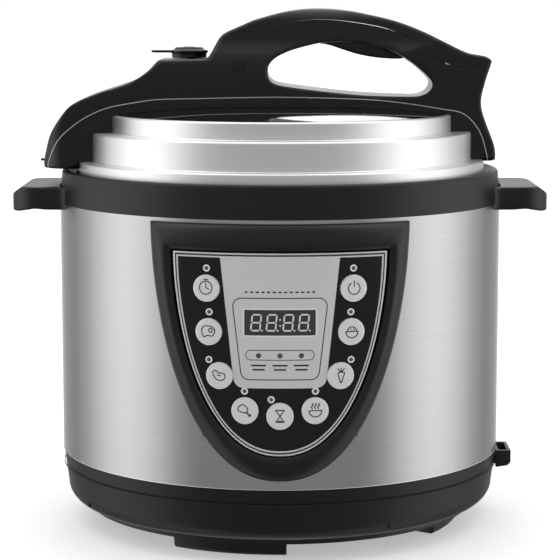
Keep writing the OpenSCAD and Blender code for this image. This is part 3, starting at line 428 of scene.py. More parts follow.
potBlack = plastic("potBlack", grey(0.035), grey(0.05), 0.38, 0.1, bump=0.02, grain=3800)
silverPaint = plastic("silverPaint", grey(0.6), grey(0.66), 0.34, 0.08, bump=0.008, Metallic=0.35)
buttonSilver = plastic("buttonSilver", grey(0.68), grey(0.74), 0.30, 0.08, bump=0.008, Metallic=0.3)
printBlack = plastic("printBlack", grey(0.012), grey(0.018), 0.45, 0.05, bump=0.004, scuff=0.1)
printWhite = plastic("printWhite", grey(0.62), grey(0.7), 0.5, 0.05, bump=0.004, scuff=0.1)
windowSmoke = plastic("windowSmoke", grey(0.028), grey(0.036), 0.18, 0.05, bump=0.004, scuff=0.2)
digitGrey = plastic("digitGrey", grey(0.56), grey(0.66), 0.4, 0.06, bump=0.004, scuff=0.1)
lampClear = plastic("lampClear", grey(0.06), grey(0.1), 0.2, 0.05, bump=0.004)
boardGreen = plastic("boardGreen", (0.01, 0.06, 0.02, 1), (0.02, 0.09, 0.03, 1), 0.4, 0.1)
partGrey = plastic("partGrey", grey(0.05), grey(0.09), 0.4, 0.1)
cupSmoke = plastic("cupSmoke", grey(0.22), grey(0.28), 0.2, 0.08, bump=0.01, Transmission_Weight=0.35,
                   IOR=1.49)
sealGrey = plastic("sealGrey", grey(0.55, 0.02), grey(0.62, 0.02), 0.55, 0.1, bump=0.02)
pinRed = plastic("pinRed", (0.36, 0.02, 0.015, 1), (0.44, 0.03, 0.02, 1), 0.3, 0.1)
print("materials made")

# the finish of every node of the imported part
finishes = {
    "baseBlack": "bottom_cover base_shell foot_1 foot_2 foot_3 foot_4 upper_ring handle_left handle_right"
                 " spoon_holder collector_bracket power_inlet",
    "sheetSteel": "body_sheet",
    "lidSteel": "lid_shell",
    "plainSteel": "base_screws handle_screws panel_screws lid_screws lever_pin latch_rod sensor_spring"
                  " vent_pipe ring_support spring_plate inlet_pins outer_pot",
    "castAlloy": "heating_plate heating_element thermal_sensor thermostat",
    "potBlack": "inner_pot",
    "buttonSilver": " ".join(n for n in nodes if n.startswith("button_")),
    "silverPaint": "panel_trim",
    "windowSmoke": "display_window",
    "boardGreen": "control_board power_board",
    "partGrey": "pressure_switch power_parts display_module key_switches",
    "lampClear": "light_pipes",
    "cupSmoke": "condensation_collector",
    "sealGrey": "sealing_ring float_seal",
    "pinRed": "float_pin",
    "handleBlack": "bridge_base bridge_cover grip_cover release_lever steam_valve",
    "bezelBlack": "control_bezel",
    "panelBlack": "panel_face",
}
for finish, names in finishes.items():
    for name in names.split():
        mesh = nodes[name].data
        mesh.materials.clear()
        mesh.materials.append(bpy.data.materials[finish])


# the control panel, its outlines in arc length round the body and height

bezelLow, bezelHigh = corners("control_bezel")
bezel = {
    "half": 77.0,            # half width along the curve
    "wide": 15.7, "lap": 16.6,    # from its outside to the panel's edge, and to the end of its inner wall
    "gap": 0.3,
    "crown": -bezelLow.y,    # furthest out
    "seat": bodyR + 0.15,
    "floor": bodyR + 3.0,
    # insets, with heights over the body and then below the crown
    "slope": [(0.15, 1.6), (1.2, 2.9), (4.0, 4.6), (7.5, 6.3)],
    "lip": [(10.0, 0.35), (11.6, 0.04), (13.0, 0.25), (14.3, 0.9), (15.3, 1.7), (15.65, 2.4)],
}
panelLow, panelHigh = corners("panel_face")
panel = {
    "half": 61.0,
    "low": panelLow.z,
    "high": panelHigh.z,
    "out": -panelLow.y,
    "back": bodyR + 3.25,
    "slice": 3.0,
}
panel["bend"] = panel["back"] - 0.05


def buildBezel():
    section = [(0.0, bezel["seat"])] + [(inset, bodyR + up) for inset, up in bezel["slope"]]
    section += [(inset, bezel["crown"] - down) for inset, down in bezel["lip"]]
    section += [(bezel["wide"], bezel["floor"]), (bezel["lap"], bezel["seat"])]
    loops = []
    for inset, r in section:
        t = inset / bezel["wide"]
        high = bezelHigh.z + (panel["high"] + bezel["gap"] - bezelHigh.z) * t
        low = bezelLow.z + (panel["low"] - bezel["gap"] - bezelLow.z) * t
        loops.append((shield(bezel["half"] - inset, low, high), r))
    bm = rings(loops)
    wrap(bm, bodyR + 0.1)
    return piece(bm, "bezel", "root", [bezelBlack], ["control_bezel"], sharp=50)


def onFace(bm):  # slices a flat shape and bends it round the body
    slices(bm, panel["slice"])
    wrap(bm, panel["bend"])
    return bm


def disc(radius, front, back, centre=(0, 0), steps=40):
    return slab(arc(centre, radius, 0, 360 - 360 / steps, steps - 1), front, back)


buttonNames = ["timer", "meat", "beans", "chicken", "time_set", "soup", "vegetables", "rice", "keep_warm"]
button = {
    "stem": 3.0,
    "radius": 7.8, "gap": 0.35, "edge": 0.9,
    "proud": 1.25, "skirt": 0.8,      # the rim over the panel's face, and the foot over its back
    "crown": [(0.62, 0.06), (0.35, 0.13), (0, 0.16)],    # share of the radius, height over the rim
    "ink": 0.22, "inkDeep": 0.5,
    "turns": [-16.9, -16.4, -13.9, -8.0, 0, 8.0, 13.9, 16.4, 16.9],
}
buttonZ = {n: sum(c.z for c in corners("button_" + n)) / 2 for n in buttonNames}
lamp = {
    "turns": [-16.9, -16.3, -16.4, -8.1, -2.0, 8.1, 16.4, 16.3, 16.9],
    "shares": [0.921, 0.707, 0.472, 0.322, 0.282, 0.322, 0.472, 0.707, 0.921],   # of the panel's height
    "outer": 2.0, "inner": 1.15,
}
dots = {"x": [-11.8, 0, 11.8], "share": 0.498, "outer": 1.45, "inner": 1.15}
windowLow, windowHigh = corners("display_window")
display = {"half": 19.7, "low": windowLow.z, "high": windowHigh.z}
display["outline"] = [(-display["half"], display["low"]), (display["half"], display["low"]),
                      (display["half"], display["high"]), (-display["half"], display["high"])]


def arcX(turn):  # arc length along the face at an angle from the middle
    return math.radians(turn) * panel["bend"]


def panelZ(share):
    return panel["low"] + (panel["high"] - panel["low"]) * share


def buildPanelFace():
    front, back = panel["out"] + 4, panel["back"] - 4      # the cutters run past both faces
    bm = slab(shield(panel["half"], panel["low"], panel["high"]), panel["out"], panel["back"])
    cutters = [disc(button["radius"] + button["gap"], front, back, (arcX(turn), buttonZ[name]))
               for name, turn in zip(buttonNames, button["turns"])]
    cutters += [disc(lamp["inner"], front, back, (arcX(turn), panelZ(share)), 20)
                for turn, share in zip(lamp["turns"], lamp["shares"])]
    cutters += [disc(dots["inner"], front, back, (x, panelZ(dots["share"])), 20) for x in dots["x"]]
    cutters.append(slab(display["outline"], front, back))
    return piece(onFace(cut(bm, cutters)), "panelFace", "root", [panelBlack], ["panel_face"])


trim = {
    # inset, height over the face
    "section": [(0.15, -0.3), (0.2, 0.45), (0.45, 0.6), (0.95, 0.6), (1.15, 0.35), (1.2, 0.1), (1.95, 0.1),
                (2.0, 0.3), (2.2, 0.5), (2.75, 0.5), (2.95, 0.3), (3.0, -0.3)],
    "groove": (0.05, 0.2),    # the dark groove between the two lines lies between these heights
}


def buildTrim():
    loops = []
    out = panel["out"]
    for inset, lift in trim["section"]:
        loops.append((shield(panel["half"] - inset, panel["low"] + inset, panel["high"] - inset), out + lift))
    bm = rings(loops)
    wrap(bm, panel["bend"])
    for f in bm.faces:
        mid = f.calc_center_median()
        level = trim["groove"][0] < math.hypot(mid.x, mid.y) - out < trim["groove"][1]
        if level and abs(f.normal.xy.normalized().dot(mid.xy.normalized())) > 0.9:
            f.material_index = 1
    return piece(bm, "panelTrim", "root", [silverPaint, printBlack], ["panel_trim"],
                 sharp=40)


def ringShape(outerLine, innerLine, front, back):
    return rings([(outerLine, front), (innerLine, front), (innerLine, back), (outerLine, back)])


def roundedBox(x0, z0, x1, z1, r, steps=6):
    return (arc((x1 - r, z0 + r), r, -90, 0, steps) + arc((x1 - r, z1 - r), r, 0, 90, steps)
            + arc((x0 + r, z1 - r), r, 90, 180, steps) + arc((x0 + r, z0 + r), r, 180, 270, steps))


def taperBox(low, high, halfLow, halfHigh, r, rTop):  # wider at the top, round corners
    slope = math.degrees(math.atan2(halfHigh - halfLow, high - low))
    return (arc((halfLow - r, low + r), r, -90, -slope, 6)
            + arc((halfHigh - rTop, high - rTop), rTop, -slope, 90, 6)
            + arc((rTop - halfHigh, high - rTop), rTop, 90, 180 + slope, 6)
            + arc((r - halfLow, low + r), r, 180 + slope, 270, 6))


face = {
    "field": (104.6, 179.0, 26.0, 33.2, 6.0, 1.2),    # low, high, half widths, corner radii
    "frame": (109.2, 155.9, 22.1, 26.4, 5.0, 5.0),
    "frameLine": 0.55,
    "capsule": (-19.1, 120.5, 19.1, 126.4, 2.9),      # left, low, right, high, corner radius
    "capsuleLine": 0.4, "windowLine": 0.7, "windowRound": (0.8, 0.1),
    "bars": [(117.6, 4.2), (115.2, 3.4)], "barHalf": 0.45,    # height and half length, half thickness
    "ticks": 13, "tickStep": 3.1, "tickHalf": 0.9, "tickLow": 158.6, "tickHigh": 159.5,
    "markRound": 0.4,
    "light": 0.07, "dark": 0.12, "sunk": 0.2,         # how far the print stands out, and goes in
}


def buildPrint():  # the printed field, its frame, rings and marks
    out = panel["out"]
    light, dark, under = out + face["light"], out + face["dark"], out - face["sunk"]
    parts, kinds = [], []

    def keep(bm, kind):    # 0 silver, 1 black, 2 white
        parts.append(bm)
        kinds.append(kind)

    def ringAt(x, z, sizes, front, kind):
        outer, inner = [arc((x, z), sizes[name], 0, 350, 35) for name in ("outer", "inner")]
        keep(ringShape(outer, inner, front, under), kind)

    holes = [disc(dots["inner"], out + 3, out - 3, (x, panelZ(dots["share"])), 20) for x in dots["x"]]
    field = slab(taperBox(*face["field"]), light, out - 0.4)
    keep(cut(field, [slab(display["outline"], out + 3, out - 3)] + holes), 0)
    low, high, halfLow, halfHigh, r, rTop = face["frame"]
    t = face["frameLine"]
    keep(ringShape(taperBox(low, high, halfLow, halfHigh, r, rTop),
                   taperBox(low + t, high - t, halfLow - t, halfHigh - t, r - t, rTop - t), dark, under), 1)
    x0, z0, x1, z1, r = face["capsule"]
    t = face["capsuleLine"]
    keep(ringShape(roundedBox(x0, z0, x1, z1, r),
                   roundedBox(x0 + t, z0 + t, x1 - t, z1 - t, r - t), dark, under), 1)
    for x in dots["x"]:
        ringAt(x, panelZ(dots["share"]), dots, dark, 1)
    # edge of the display, and the white rings round the lamps
    h, t, (outerRound, innerRound) = display["half"], face["windowLine"], face["windowRound"]
    keep(ringShape(roundedBox(-h - t, display["low"] - t, h + t, display["high"] + t, outerRound),
                   roundedBox(-h, display["low"], h, display["high"], innerRound), dark, under), 2)
    for turn, share in zip(lamp["turns"], lamp["shares"]):
        ringAt(arcX(turn), panelZ(share), lamp, light, 2)
    # plain marks under the three dots, in place of words
    t, soft = face["barHalf"], face["markRound"]
    for x in dots["x"]:
        for z, w in face["bars"]:
            keep(slab(roundedBox(x - w, z - t, x + w, z + t, soft, 3), dark, under), 1)
    # a row of even ticks over the display
    for i in range(face["ticks"]):
        x, w = (i - face["ticks"] // 2) * face["tickStep"], face["tickHalf"]
        keep(slab(roundedBox(x - w, face["tickLow"], x + w, face["tickHigh"], soft, 3), dark, under), 1)
    bm = onFace(joined(parts, kinds))
    return piece(bm, "panelPrint", "root", [silverPaint, printBlack, printWhite])


digits = {
    "high": 9.0, "wide": 5.0, "thick": 0.85, "gap": 0.25,
    "lean": 0.1,
    "centres": [-13.2, -4.6, 4.6, 13.2],
    "point": 0.5, "pointX": 3.3,       # radius of a point, and its place right of the figure's middle
    "colon": (0.1, 1.7),
    "front": 0.02, "back": 0.3,        # below the panel's face
}


def buildDigits():  # four unlit figures with their points
    front, back = panel["out"] - digits["front"], panel["out"] - digits["back"]
    thick = digits["thick"]
    middle = (display["low"] + display["high"]) / 2
    parts = []

    def bar(x0, z0, x1, z1, cx):    # one segment, pointed at both ends
        dx, dz = x1 - x0, z1 - z0
        n = math.hypot(dx, dz)
        ux, uz = dx / n, dz / n
        px, pz = -uz * thick / 2, ux * thick / 2
        a, b = thick / 2 + digits["gap"], n - thick / 2 - digits["gap"]
        line = []
        for s, side in [(a - thick / 2, 0), (a, -1), (b, -1), (b + thick / 2, 0), (b, 1), (a, 1)]:
            x, z = x0 + ux * s + px * side, z0 + uz * s + pz * side
            line.append((cx + x + z * digits["lean"], middle + z))
        parts.append(slab(line, front, back))

    w, h = digits["wide"] / 2, digits["high"] / 2
    segments = [(-w, h, w, h), (-w, 0, w, 0), (-w, -h, w, -h), (-w, 0, -w, h), (w, 0, w, h), (-w, -h, -w, 0),
                (w, -h, w, 0)]
    for cx in digits["centres"]:
        for ends in segments:
            bar(*ends, cx)
        parts.append(disc(digits["point"], front, back, (cx + digits["pointX"], middle - h), 16))
    x, z = digits["colon"]
    for side in (-1, 1):
        parts.append(disc(digits["point"], front, back, (x, middle + side * z), 16))
    return piece(onFace(joined(parts)), "displayDigits", "root", [digitGrey])


def stroke(points, width, closed=False):  # flat strip along a line, as outlines
    shapes = []
    ends = list(zip(points, points[1:])) + ([(points[-1], points[0])] if closed else [])
    for (x0, z0), (x1, z1) in ends:
        turn = math.degrees(math.atan2(z1 - z0, x1 - x0))
        shapes.append(arc((x1, z1), width / 2, turn - 90, turn + 90, 5)
                      + arc((x0, z0), width / 2, turn + 90, turn + 270, 5))
    return shapes


def signs():  # plain pictures for the buttons, in millimetres about each one's centre
    w = 0.55

    def blob(points):
        return stroke(softLine(points, 5, True), w)

    bowl = stroke(arc((0, 0.2), 3.6, 180, 360, 14), w, True)
    steam = [softLine([(x, 1.4), (x - 0.5, 2.3), (x + 0.5, 3.3), (x, 4.3)], 4) for x in (-1.8, 0, 1.8)]
    dial = stroke(arc((0, 0.4), 3.7, 0, 345, 23), w, True)
    return {
        "timer": dial + stroke([(0, 3.0), (0, 0.4), (1.9, -0.5)], w) + stroke([(-1.2, 5.0), (1.2, 5.0)], w),
        "meat": blob([(-3.8, 0.6), (-2.2, 3.2), (1.8, 3.0), (3.9, 0.9), (2.6, -2.2),
                      (-0.4, -2.0), (-2.6, -2.8)])
                + stroke(arc((1.4, 0.9), 1.1, 0, 330, 11), w, True),
        "beans": blob([(-3.6, 1.6), (-2.2, 3.1), (0.2, 1.7), (2.6, 1.6), (3.6, -0.4),
                       (1.8, -2.4), (-1.6, -1.8)])
                 + stroke([(-0.9, 0.5), (0.9, 0.1)], w),
        "chicken": blob([(-3.2, 2.4), (-0.6, 3.6), (1.6, 1.4), (1.0, -0.8), (-1.4, -0.8), (-3.6, 0.4)])
                   + stroke([(1.0, -0.8), (3.0, -2.6)], 0.9) + stroke([(2.5, -3.1), (3.6, -2.2)], 0.7),
        "time_set": stroke([(-2.4, 3.6), (2.4, 3.6), (0, 0.2), (2.4, -3.2), (-2.4, -3.2), (0, 0.2)], w, True)
                    + stroke([(-1.0, -2.6), (1.0, -2.6)], w),
        "soup": bowl + [p for s in steam for p in stroke(s, w)],
        "vegetables": blob([(-1.6, 1.8), (1.8, 1.8), (1.2, -0.8), (0, -4.0), (-1.2, -0.8)])
                      + stroke([(0, 2.0), (0, 4.4)], w) + stroke([(-0.2, 2.2), (-1.8, 4.0)], w)
                      + stroke([(0.2, 2.2), (1.8, 4.0)], w),
        "rice": bowl + stroke(arc((0, 0.2), 2.7, 10, 170, 9), w)
                + stroke([(-0.9, 1.2), (-0.6, 1.7)], w) + stroke([(0.9, 1.1), (1.2, 1.6)], w),
        "keep_warm": stroke(arc((0, 0), 3.4, 120, 420, 20), w) + stroke([(0, 1.2), (0, 4.2)], w),
    }


def buildButtons():
    pictures = signs()
    r, edge = button["radius"] - 0.05, button["edge"]
    outward = panel["out"] + button["proud"]
    inner = panel["back"] + button["skirt"]
    laid = Matrix.Translation((0, 0, outward + button["ink"])) @ Matrix.Rotation(math.radians(-90), 4, "X")
    for name, turn in zip(buttonNames, button["turns"]):
        node = "button_" + name
        cap = spun([(0, inner), (r, inner), (r, outward - edge)]
                   + arc((r - edge, outward - edge), edge, 12, 80, 6)
                   + [(r * share, outward + up) for share, up in button["crown"]], steps=64, closed=False)
        lean = math.radians(turn)
        # the stem stops short of the switch behind it
        tail = (button["stem"] * abs(math.sin(lean)) - corners(node)[1].y) / math.cos(lean)
        stem = spun([(0, tail), (button["stem"], tail), (button["stem"], inner + 0.4), (0, inner + 0.4)],
                    steps=24, closed=False)
        marks = [placed(slab(shape, 0, -button["inkDeep"]), laid) for shape in pictures[name]]
        bm = joined([cap, stem] + marks, [0, 0] + [1] * len(marks))
        lift = Matrix.Translation((0, 0, buttonZ[name]))
        placed(bm, Matrix.Rotation(lean, 4, "Z") @ lift @ Matrix.Rotation(math.radians(90), 4, "X"))
        piece(bm, "button" + name.title().replace("_", ""), node,
              [buttonSilver, printBlack], [node])


buildBezel()
buildPanelFace()
buildTrim()
buildPrint()
buildDigits()
buildButtons()
print("control panel made")

# the lid, its handle and what rides on it

lidLow, lidHigh = corners("lid_shell")
lidRise = 33.4
rim = ringTop + lidRise          # top edge of the lid's wall
lidTiers = {
    "outer": [lidHigh.x, lidHigh.x - 8, lidHigh.x - 20],   # radius of each tier
    "tops": [ringTop + 5.6, ringTop + 22.9, rim],
    "round": 1.6, "fillet": 0.7,
    "domeEdge": lidHigh.x - 24, "dome": lidHigh.z, "fall": 3.2,    # the dome drops by this power
    "groove": 1.1,      # depth of the ditch round the dome
    "wall": 1.2,
}
grip = {
    "reach": bodyR + 8, "halfWidth": 36.0,
    "voxel": 1.15, "softening": 7,
    "recess": (-25.2, rim + 29.4, 8.0, 6.2), "recessFloor": 28.2,    # middle, width, height; its Y
    "seams": {"parting": 0.5, "topSeam": 0.26}, "paintedHighlightStrip": 0.9,         # widths; the share of the parting groove that the painted highlight strip fills
    "lidGap": 0.15, "pocketHalf": 9, "past": 60,
    # outlines in shares of the reach and heights over the rim
    "wing": [(-1.001, -0.967), (-1.0, -0.82), (-0.99, -0.64), (-0.966, -0.32), (-0.908, 1.8), (-0.86, 7.9),
             (-0.772, 13.2), (-0.63, 20), (-0.557, 26.6), (-0.513, 33.6)],
    "hump": [(-0.306, 33.8), (-0.282, 39.9), (-0.256, 46.7), (-0.23, 49.8), (-0.178, 53.1)],
    "arch": [(-0.115, 57.1), (0, 61.7), (0.087, 63.8), (0.172, 64.3), (0.258, 63.5), (0.343, 61.6),
             (0.488, 56.8), (0.6, 50.8), (0.687, 44.7), (0.773, 38.7), (0.816, 36.6), (0.876, 35.3)],
    "heel": [(0.9, 33.2), (0.901, 31.4), (0.876, 20.3), (0.857, 9.2), (0.862, 1.8), (0.885, -0.225),
             (0.918, -0.6), (0.924, -0.865)],
    "hole": [(-0.046, 21.8), (-0.051, 28.5), (-0.028, 33.5), (0.02, 37.4), (0.087, 40.6), (0.2, 43.9),
             (0.33, 43.6), (0.442, 40.3), (0.524, 34.6), (0.592, 27.4), (0.638, 20.9), (0.646, 17.4),
             (0.625, 13.4), (0.585, 11.3), (0.517, 11.2), (0.345, 12.2), (0.173, 14.7), (0.05, 17),
             (-0.015, 18.7)],
    "parting": [(-0.976, -0.967), (-0.974, -0.83), (-0.933, -0.46), (-0.868, -0.19), (-0.803, -0.01),
                (-0.719, 4.6), (-0.592, 8), (-0.507, 9.5), (-0.338, 10.1), (0, 10.9), (0.34, 9.6),
                (0.509, 7.3), (0.678, 3.4), (0.781, 0), (0.849, -0.32), (0.881, -0.74), (0.885, -0.865)],
    "topSeam": [(-0.178, 53.1), (-0.14, 50), (-0.07, 52.3), (0.05, 56), (0.172, 57.4), (0.3, 56),
                (0.46, 51.6), (0.58, 44), (0.646, 36), (0.71, 30.4), (0.775, 28.8), (0.85, 30.8),
                (0.9, 33)],
    # half width in shares along the handle, and its section in millimetres
    "widths": [(-1.01, 0.62), (-0.965, 0.88), (-0.91, 1.0), (-0.84, 0.985), (-0.78, 0.9), (-0.715, 0.86),
               (-0.55, 0.87), (-0.35, 0.9), (-0.14, 0.9), (0, 0.9), (0.17, 0.87), (0.35, 0.83),
               (0.52, 0.72), (0.69, 0.56), (0.8, 0.44), (0.93, 0.34)],
    "section": [(39, -40), (38, 4), (33, 20), (28, 33), (20.5, 44), (17, 52), (14.5, 58), (10.5, 62.5),
                (5, 65), (0, 66)],
    "lever": [(0.153, 43.8), (0.215, 41.7), (0.28, 38.6), (0.345, 35.9), (0.43, 34), (0.515, 33.6),
              (0.528, 35.5), (0.522, 38.5), (0.45, 43.5), (0.345, 47), (0.25, 49.5), (0.19, 50.6),
              (0.15, 47.5)],
    "pocket": [(0.135, 30), (0.135, 55.2), (0.2, 55.2), (0.345, 52.6), (0.48, 49), (0.56, 45.5),
               (0.56, 30)],
}


def rimZ(h):  # above the rim in millimetres; below it as a share of the lid's height
    return rim + (h * lidRise if h < 0 else h)


def gripLine(name, closed=False):
    return softLine([(x * grip["reach"], rimZ(h)) for x, h in grip[name]], 4, closed)


def handleBlock():  # side view, plan and section, crossed
    half, long = grip["halfWidth"], 200
    under, tall = 60, 190      # the plan's block starts this far under the rim
    side = slab(gripLine("wing") + gripLine("hump") + gripLine("arch") + gripLine("heel"), half + 8,
                -half - 8)
    plan = softLine([(x * grip["reach"], w * half) for x, w in grip["widths"]], 4)
    plan = plan + [(x, -y) for x, y in reversed(plan)]
    footprint = slab(plan, 0, -tall)
    placed(footprint, Matrix.Translation((0, 0, rim - under)) @ Matrix.Rotation(math.radians(90), 4, "X"))
    right = softLine([(y, rim + h) for y, h in grip["section"]], 3)
    section = slab(right + [(-y, z) for y, z in reversed(right[:-1])], long, -long)
    placed(section, Matrix.Rotation(math.radians(90), 4, "Z"))
    return cut(side, [footprint, section], "INTERSECT")


def lidProfile(grow):  # outside of the lid's three tiers, from the skirt up
    q, fillet = lidTiers["round"] + max(0, grow), lidTiers["fillet"]
    line = [(lidTiers["outer"][0] + grow, lidLow.z)]
    for i, (r, z) in enumerate(zip(lidTiers["outer"], lidTiers["tops"])):
        if i:
            line += arc((r + grow + fillet, lidTiers["tops"][i - 1] + grow + fillet), fillet, 270, 180, 4)
        line += arc((r + grow - q, z + grow - q), q, 0, 90, 5)
    return line


def domeZ(r):
    return rim + (lidTiers["dome"] - rim) * (1 - (r / lidTiers["domeEdge"]) ** lidTiers["fall"])


def ribbon(track, width):  # a strip of even width along a line, run on past both ends
    first, second, last, before = [Vector(track[i]) for i in (0, 1, -1, -2)]
    track = ([tuple(first + (first - second).normalized() * 3)] + track
             + [tuple(last + (last - before).normalized() * 3)])
    other = []
    for i, p in enumerate(track):
        a, b = Vector(track[max(0, i - 1)]), Vector(track[min(len(track) - 1, i + 1)])
        along = (b - a).normalized()
        other.append((p[0] - along.y * width, p[1] + along.x * width))
    return track + other[::-1]


def buildHandle():
    past, seams = grip["past"], grip["seams"]
    block = cut(handleBlock(), [slab(gripLine("hole", True), past, -past)])
    block = softened(block, grip["voxel"], grip["softening"])
    gap, edge = grip["lidGap"], lidTiers["domeEdge"]
    dome = [(edge * (1 - i / 8), domeZ(edge * (1 - i / 8)) + gap) for i in range(9)]
    room = spun([(0, lidLow.z)] + lidProfile(gap) + dome, 144, closed=False)    # what the lid takes up
    pocket = slab([(x * grip["reach"], rimZ(h)) for x, h in grip["pocket"]], grip["pocketHalf"],
                  -grip["pocketHalf"])
    grooves = [slab(ribbon(gripLine(name), width), past, -past) for name, width in seams.items()]
    x, z, wide, high = grip["recess"]
    mark = slab(roundedBox(x - wide / 2, z - high / 2, x + wide / 2, z + high / 2, 0.8), 45,
                grip["recessFloor"])
    line = slab(ribbon(gripLine("parting"), seams["parting"] * grip["paintedHighlightStrip"]), past, -past)
    paintedHighlightStrip = cut(cut(block.copy(), [line], "INTERSECT"), [room.copy()])    # a light grey strip in the parting groove, a painted highlight along the seam's edge
    block = joined([cut(block, [room, pocket, mark] + grooves), paintedHighlightStrip], [0, 1])
    return piece(block, "handle", "lid", [handleBlack, seamShine],
                 ["bridge_base", "bridge_cover", "grip_cover"], sharp=38)


lever = {"half": 8.2, "round": 1.6}


def buildLever():
    shape = rounded(slab(gripLine("lever", True), lever["half"], -lever["half"]), 1, lever["round"], 4)
    return piece(shape, "releaseLever", "lever", [handleBlack], ["release_lever"])


# the lugs lock under the pot's teeth
lugs = {"count": 6, "sweep": 25.8, "inner": 10.6, "outer": 0.6, "high": 2}


def buildLid():
    outer, tops = lidTiers["outer"], lidTiers["tops"]
    wall, edge, groove = lidTiers["wall"], lidTiers["domeEdge"], lidTiers["groove"]
    ditch = [(outer[2] - 2.4, rim), (outer[2] - 2.7, rim - groove),
             (edge + 0.2, rim - groove), (edge, rim - 0.3)]
    dome = [edge * math.cos(math.radians(9 * i)) for i in range(11)]
    under = [(edge * i / 8, domeZ(edge * i / 8) - wall) for i in range(8)]
    inner = under + [(outer[2] - wall, rim - wall), (outer[2] - wall, tops[1] - wall),
                     (outer[1] - wall, tops[1] - wall), (outer[1] - wall, tops[0] - wall),
                     (outer[0] - wall, tops[0] - wall), (outer[0] - wall, lidLow.z)]
    shell = spun(lidProfile(0) + ditch + [(r, domeZ(r)) for r in dome] + inner, 180, closed=True)
    for f in shell.faces:
        mid = f.calc_center_median()
        r = math.hypot(mid.x, mid.y)
        if r < edge - 0.3 and mid.z > rim - 0.9 and f.normal.z > 0:
            f.material_index = 1    # the mirror dome
        elif edge - 0.3 <= r < outer[2] - 2.5 and mid.z > rim - 1.15 and f.normal.z > -0.1:
            f.material_index = 2    # the ditch round it, painted black as painted shade in the groove
    teeth = []
    for i in range(lugs["count"]):
        low, r0, r1 = lidLow.z, outer[0] - lugs["inner"], outer[0] - lugs["outer"]
        tooth = spun([(r0, low), (r1, low), (r1, low + lugs["high"]), (r0, low + lugs["high"])], 12,
                     lugs["sweep"])
        turn = math.radians(360 / lugs["count"] * i - lugs["sweep"] / 2)
        teeth.append(placed(tooth, Matrix.Rotation(turn, 4, "Z")))
    bm = joined([shell] + teeth)
    return piece(bm, "lidShell", "lid", [lidSteel, mirrorSteel, innerBlack], ["lid_shell"],
                 sharp=40)


valve = {
    "x": sum(c.x for c in corners("vent_pipe")) / 2, "radius": 11.7, "seat": rim + 34.1, "high": 6.4,
    # insets from the radius: with heights over the seat, the lip's round, with heights over "high"
    "side": [(1.6, 0), (1.0, 0.5), (1.0, 2.5), (0.3, 3.1)],
    "lip": (0.7, 4.0),
    "top": [(2.2, -1.2), (3.4, 0), (5.5, 0.1), (6.1, -0.4), (7.4, -0.4), (8.0, 0.4)],
    "crown": 0.55,
    "tab": (-23.4, -5, -6, 5, 4.6), "tabSeat": 3.15, "tabThick": 1.5, "tabRound": 0.35,
}


def buildValve():
    r, h, (lip, z) = valve["radius"], valve["high"], valve["lip"]
    side = [(r - inset, up) for inset, up in valve["side"]] + arc((r - lip, z), lip, -60, 90, 6)
    top = [(r - inset, h + up) for inset, up in valve["top"]] + [(0, h + valve["crown"])]
    knob = spun([(0, 0)] + side + top, 96, closed=False)
    tab = slab(roundedBox(*valve["tab"]), 0, -valve["tabThick"])
    placed(tab, Matrix.Translation((0, 0, valve["tabSeat"])) @ Matrix.Rotation(math.radians(90), 4, "X"))
    rounded(tab, 2, valve["tabRound"], 2)
    bm = placed(joined([knob, tab]), Matrix.Translation((valve["x"], 0, valve["seat"])))
    return piece(bm, "steamValve", "valve", [handleBlack], ["steam_valve"])


catch = {
    "plate": [(0, 0), (3.2, 0), (3.2, 7), (1.2, 7), (0, 5.8)], "half": 4,
    "peg": [(0, 0), (0.8, 0), (0.8, 3.4), (0.5, 3.7), (0, 3.7)],    # radius and length
    "pegAt": (0.2, 0, 3.4), "inset": 3.7, "lift": 0.1,
}


def buildCatchPlate():  # small plate with a peg at the wing's end
    low = corners("bridge_cover")[0]
    plate = slab(catch["plate"], catch["half"], -catch["half"])
    peg = placed(spun(catch["peg"], 20, closed=False),
                 Matrix.Translation(catch["pegAt"]) @ Matrix.Rotation(math.radians(-90), 4, "Y"))
    bm = placed(joined([plate, peg]), Matrix.Translation((low.x + catch["inset"], 0, low.z + catch["lift"])))
    return piece(bm, "catchPlate", "lid", [handleBlack])


buildLid()
buildHandle()
buildLever()
buildValve()
buildCatchPlate()
print("lid made")

# the body's own fittings

sideGrip = {
    "voxel": 0.95, "softening": 6,
    "lower": 2.0, "raise": 2.4, "shorter": 1.9,      # the top, the underside and the tip, against the node
    "root": [(-4.6, 10.0), (-2.4, 4.6), (0.8, 1.4), (5.6, -0.1)],    # scoop, from where collar and side meet
    "flange": 2.6,      # the scoop starts this far over the underside
    "inside": 4,        # and its outline closes this far inside the grip
    "still": 6,         # from the meeting point out to where the shortening begins
}


def buildSideGrips():
    for name, side in (("handle_left", -1), ("handle_right", 1)):
        low, high = corners(name)
        half = high.y
        foot, inside = low.z + sideGrip["flange"], sideGrip["inside"]
        meet = math.sqrt(bodyR * bodyR - half * half)
        plan = softLine([(meet + x, half + y) for x, y in sideGrip["root"]], 5)
        (x1, y1), (x0, y0) = plan[0], plan[-1]
        outline = plan + [(x0, y0 - inside), (x1 - 2, y0 - inside), (x1 - 2, y1)]
        shapes = [mergedCopy(name)]
        stand = Matrix.Translation((0, 0, foot)) @ Matrix.Rotation(math.radians(90), 4, "X")
        for end in (-1, 1):
            corner = slab([(side * x, end * y) for x, y in outline], 0, foot - high.z)
            bmesh.ops.recalc_face_normals(corner, faces=corner.faces)
            shapes.append(placed(corner, stand))
        bm = softened(joined(shapes), sideGrip["voxel"], sideGrip["softening"])
        root, tip = meet + sideGrip["still"], high.x if side > 0 else -low.x
        for v in bm.verts:
            share = (v.co.z - low.z) / (high.z - low.z)
            v.co.z += sideGrip["raise"] * (1 - share) - sideGrip["lower"] * share
            v.co.x -= side * sideGrip["shorter"] * max(0.0, (abs(v.co.x) - root) / (tip - root))
        piece(bm, "grip" + ("Left" if side < 0 else "Right"), "root", [baseBlack], [name],
              sharp=80)


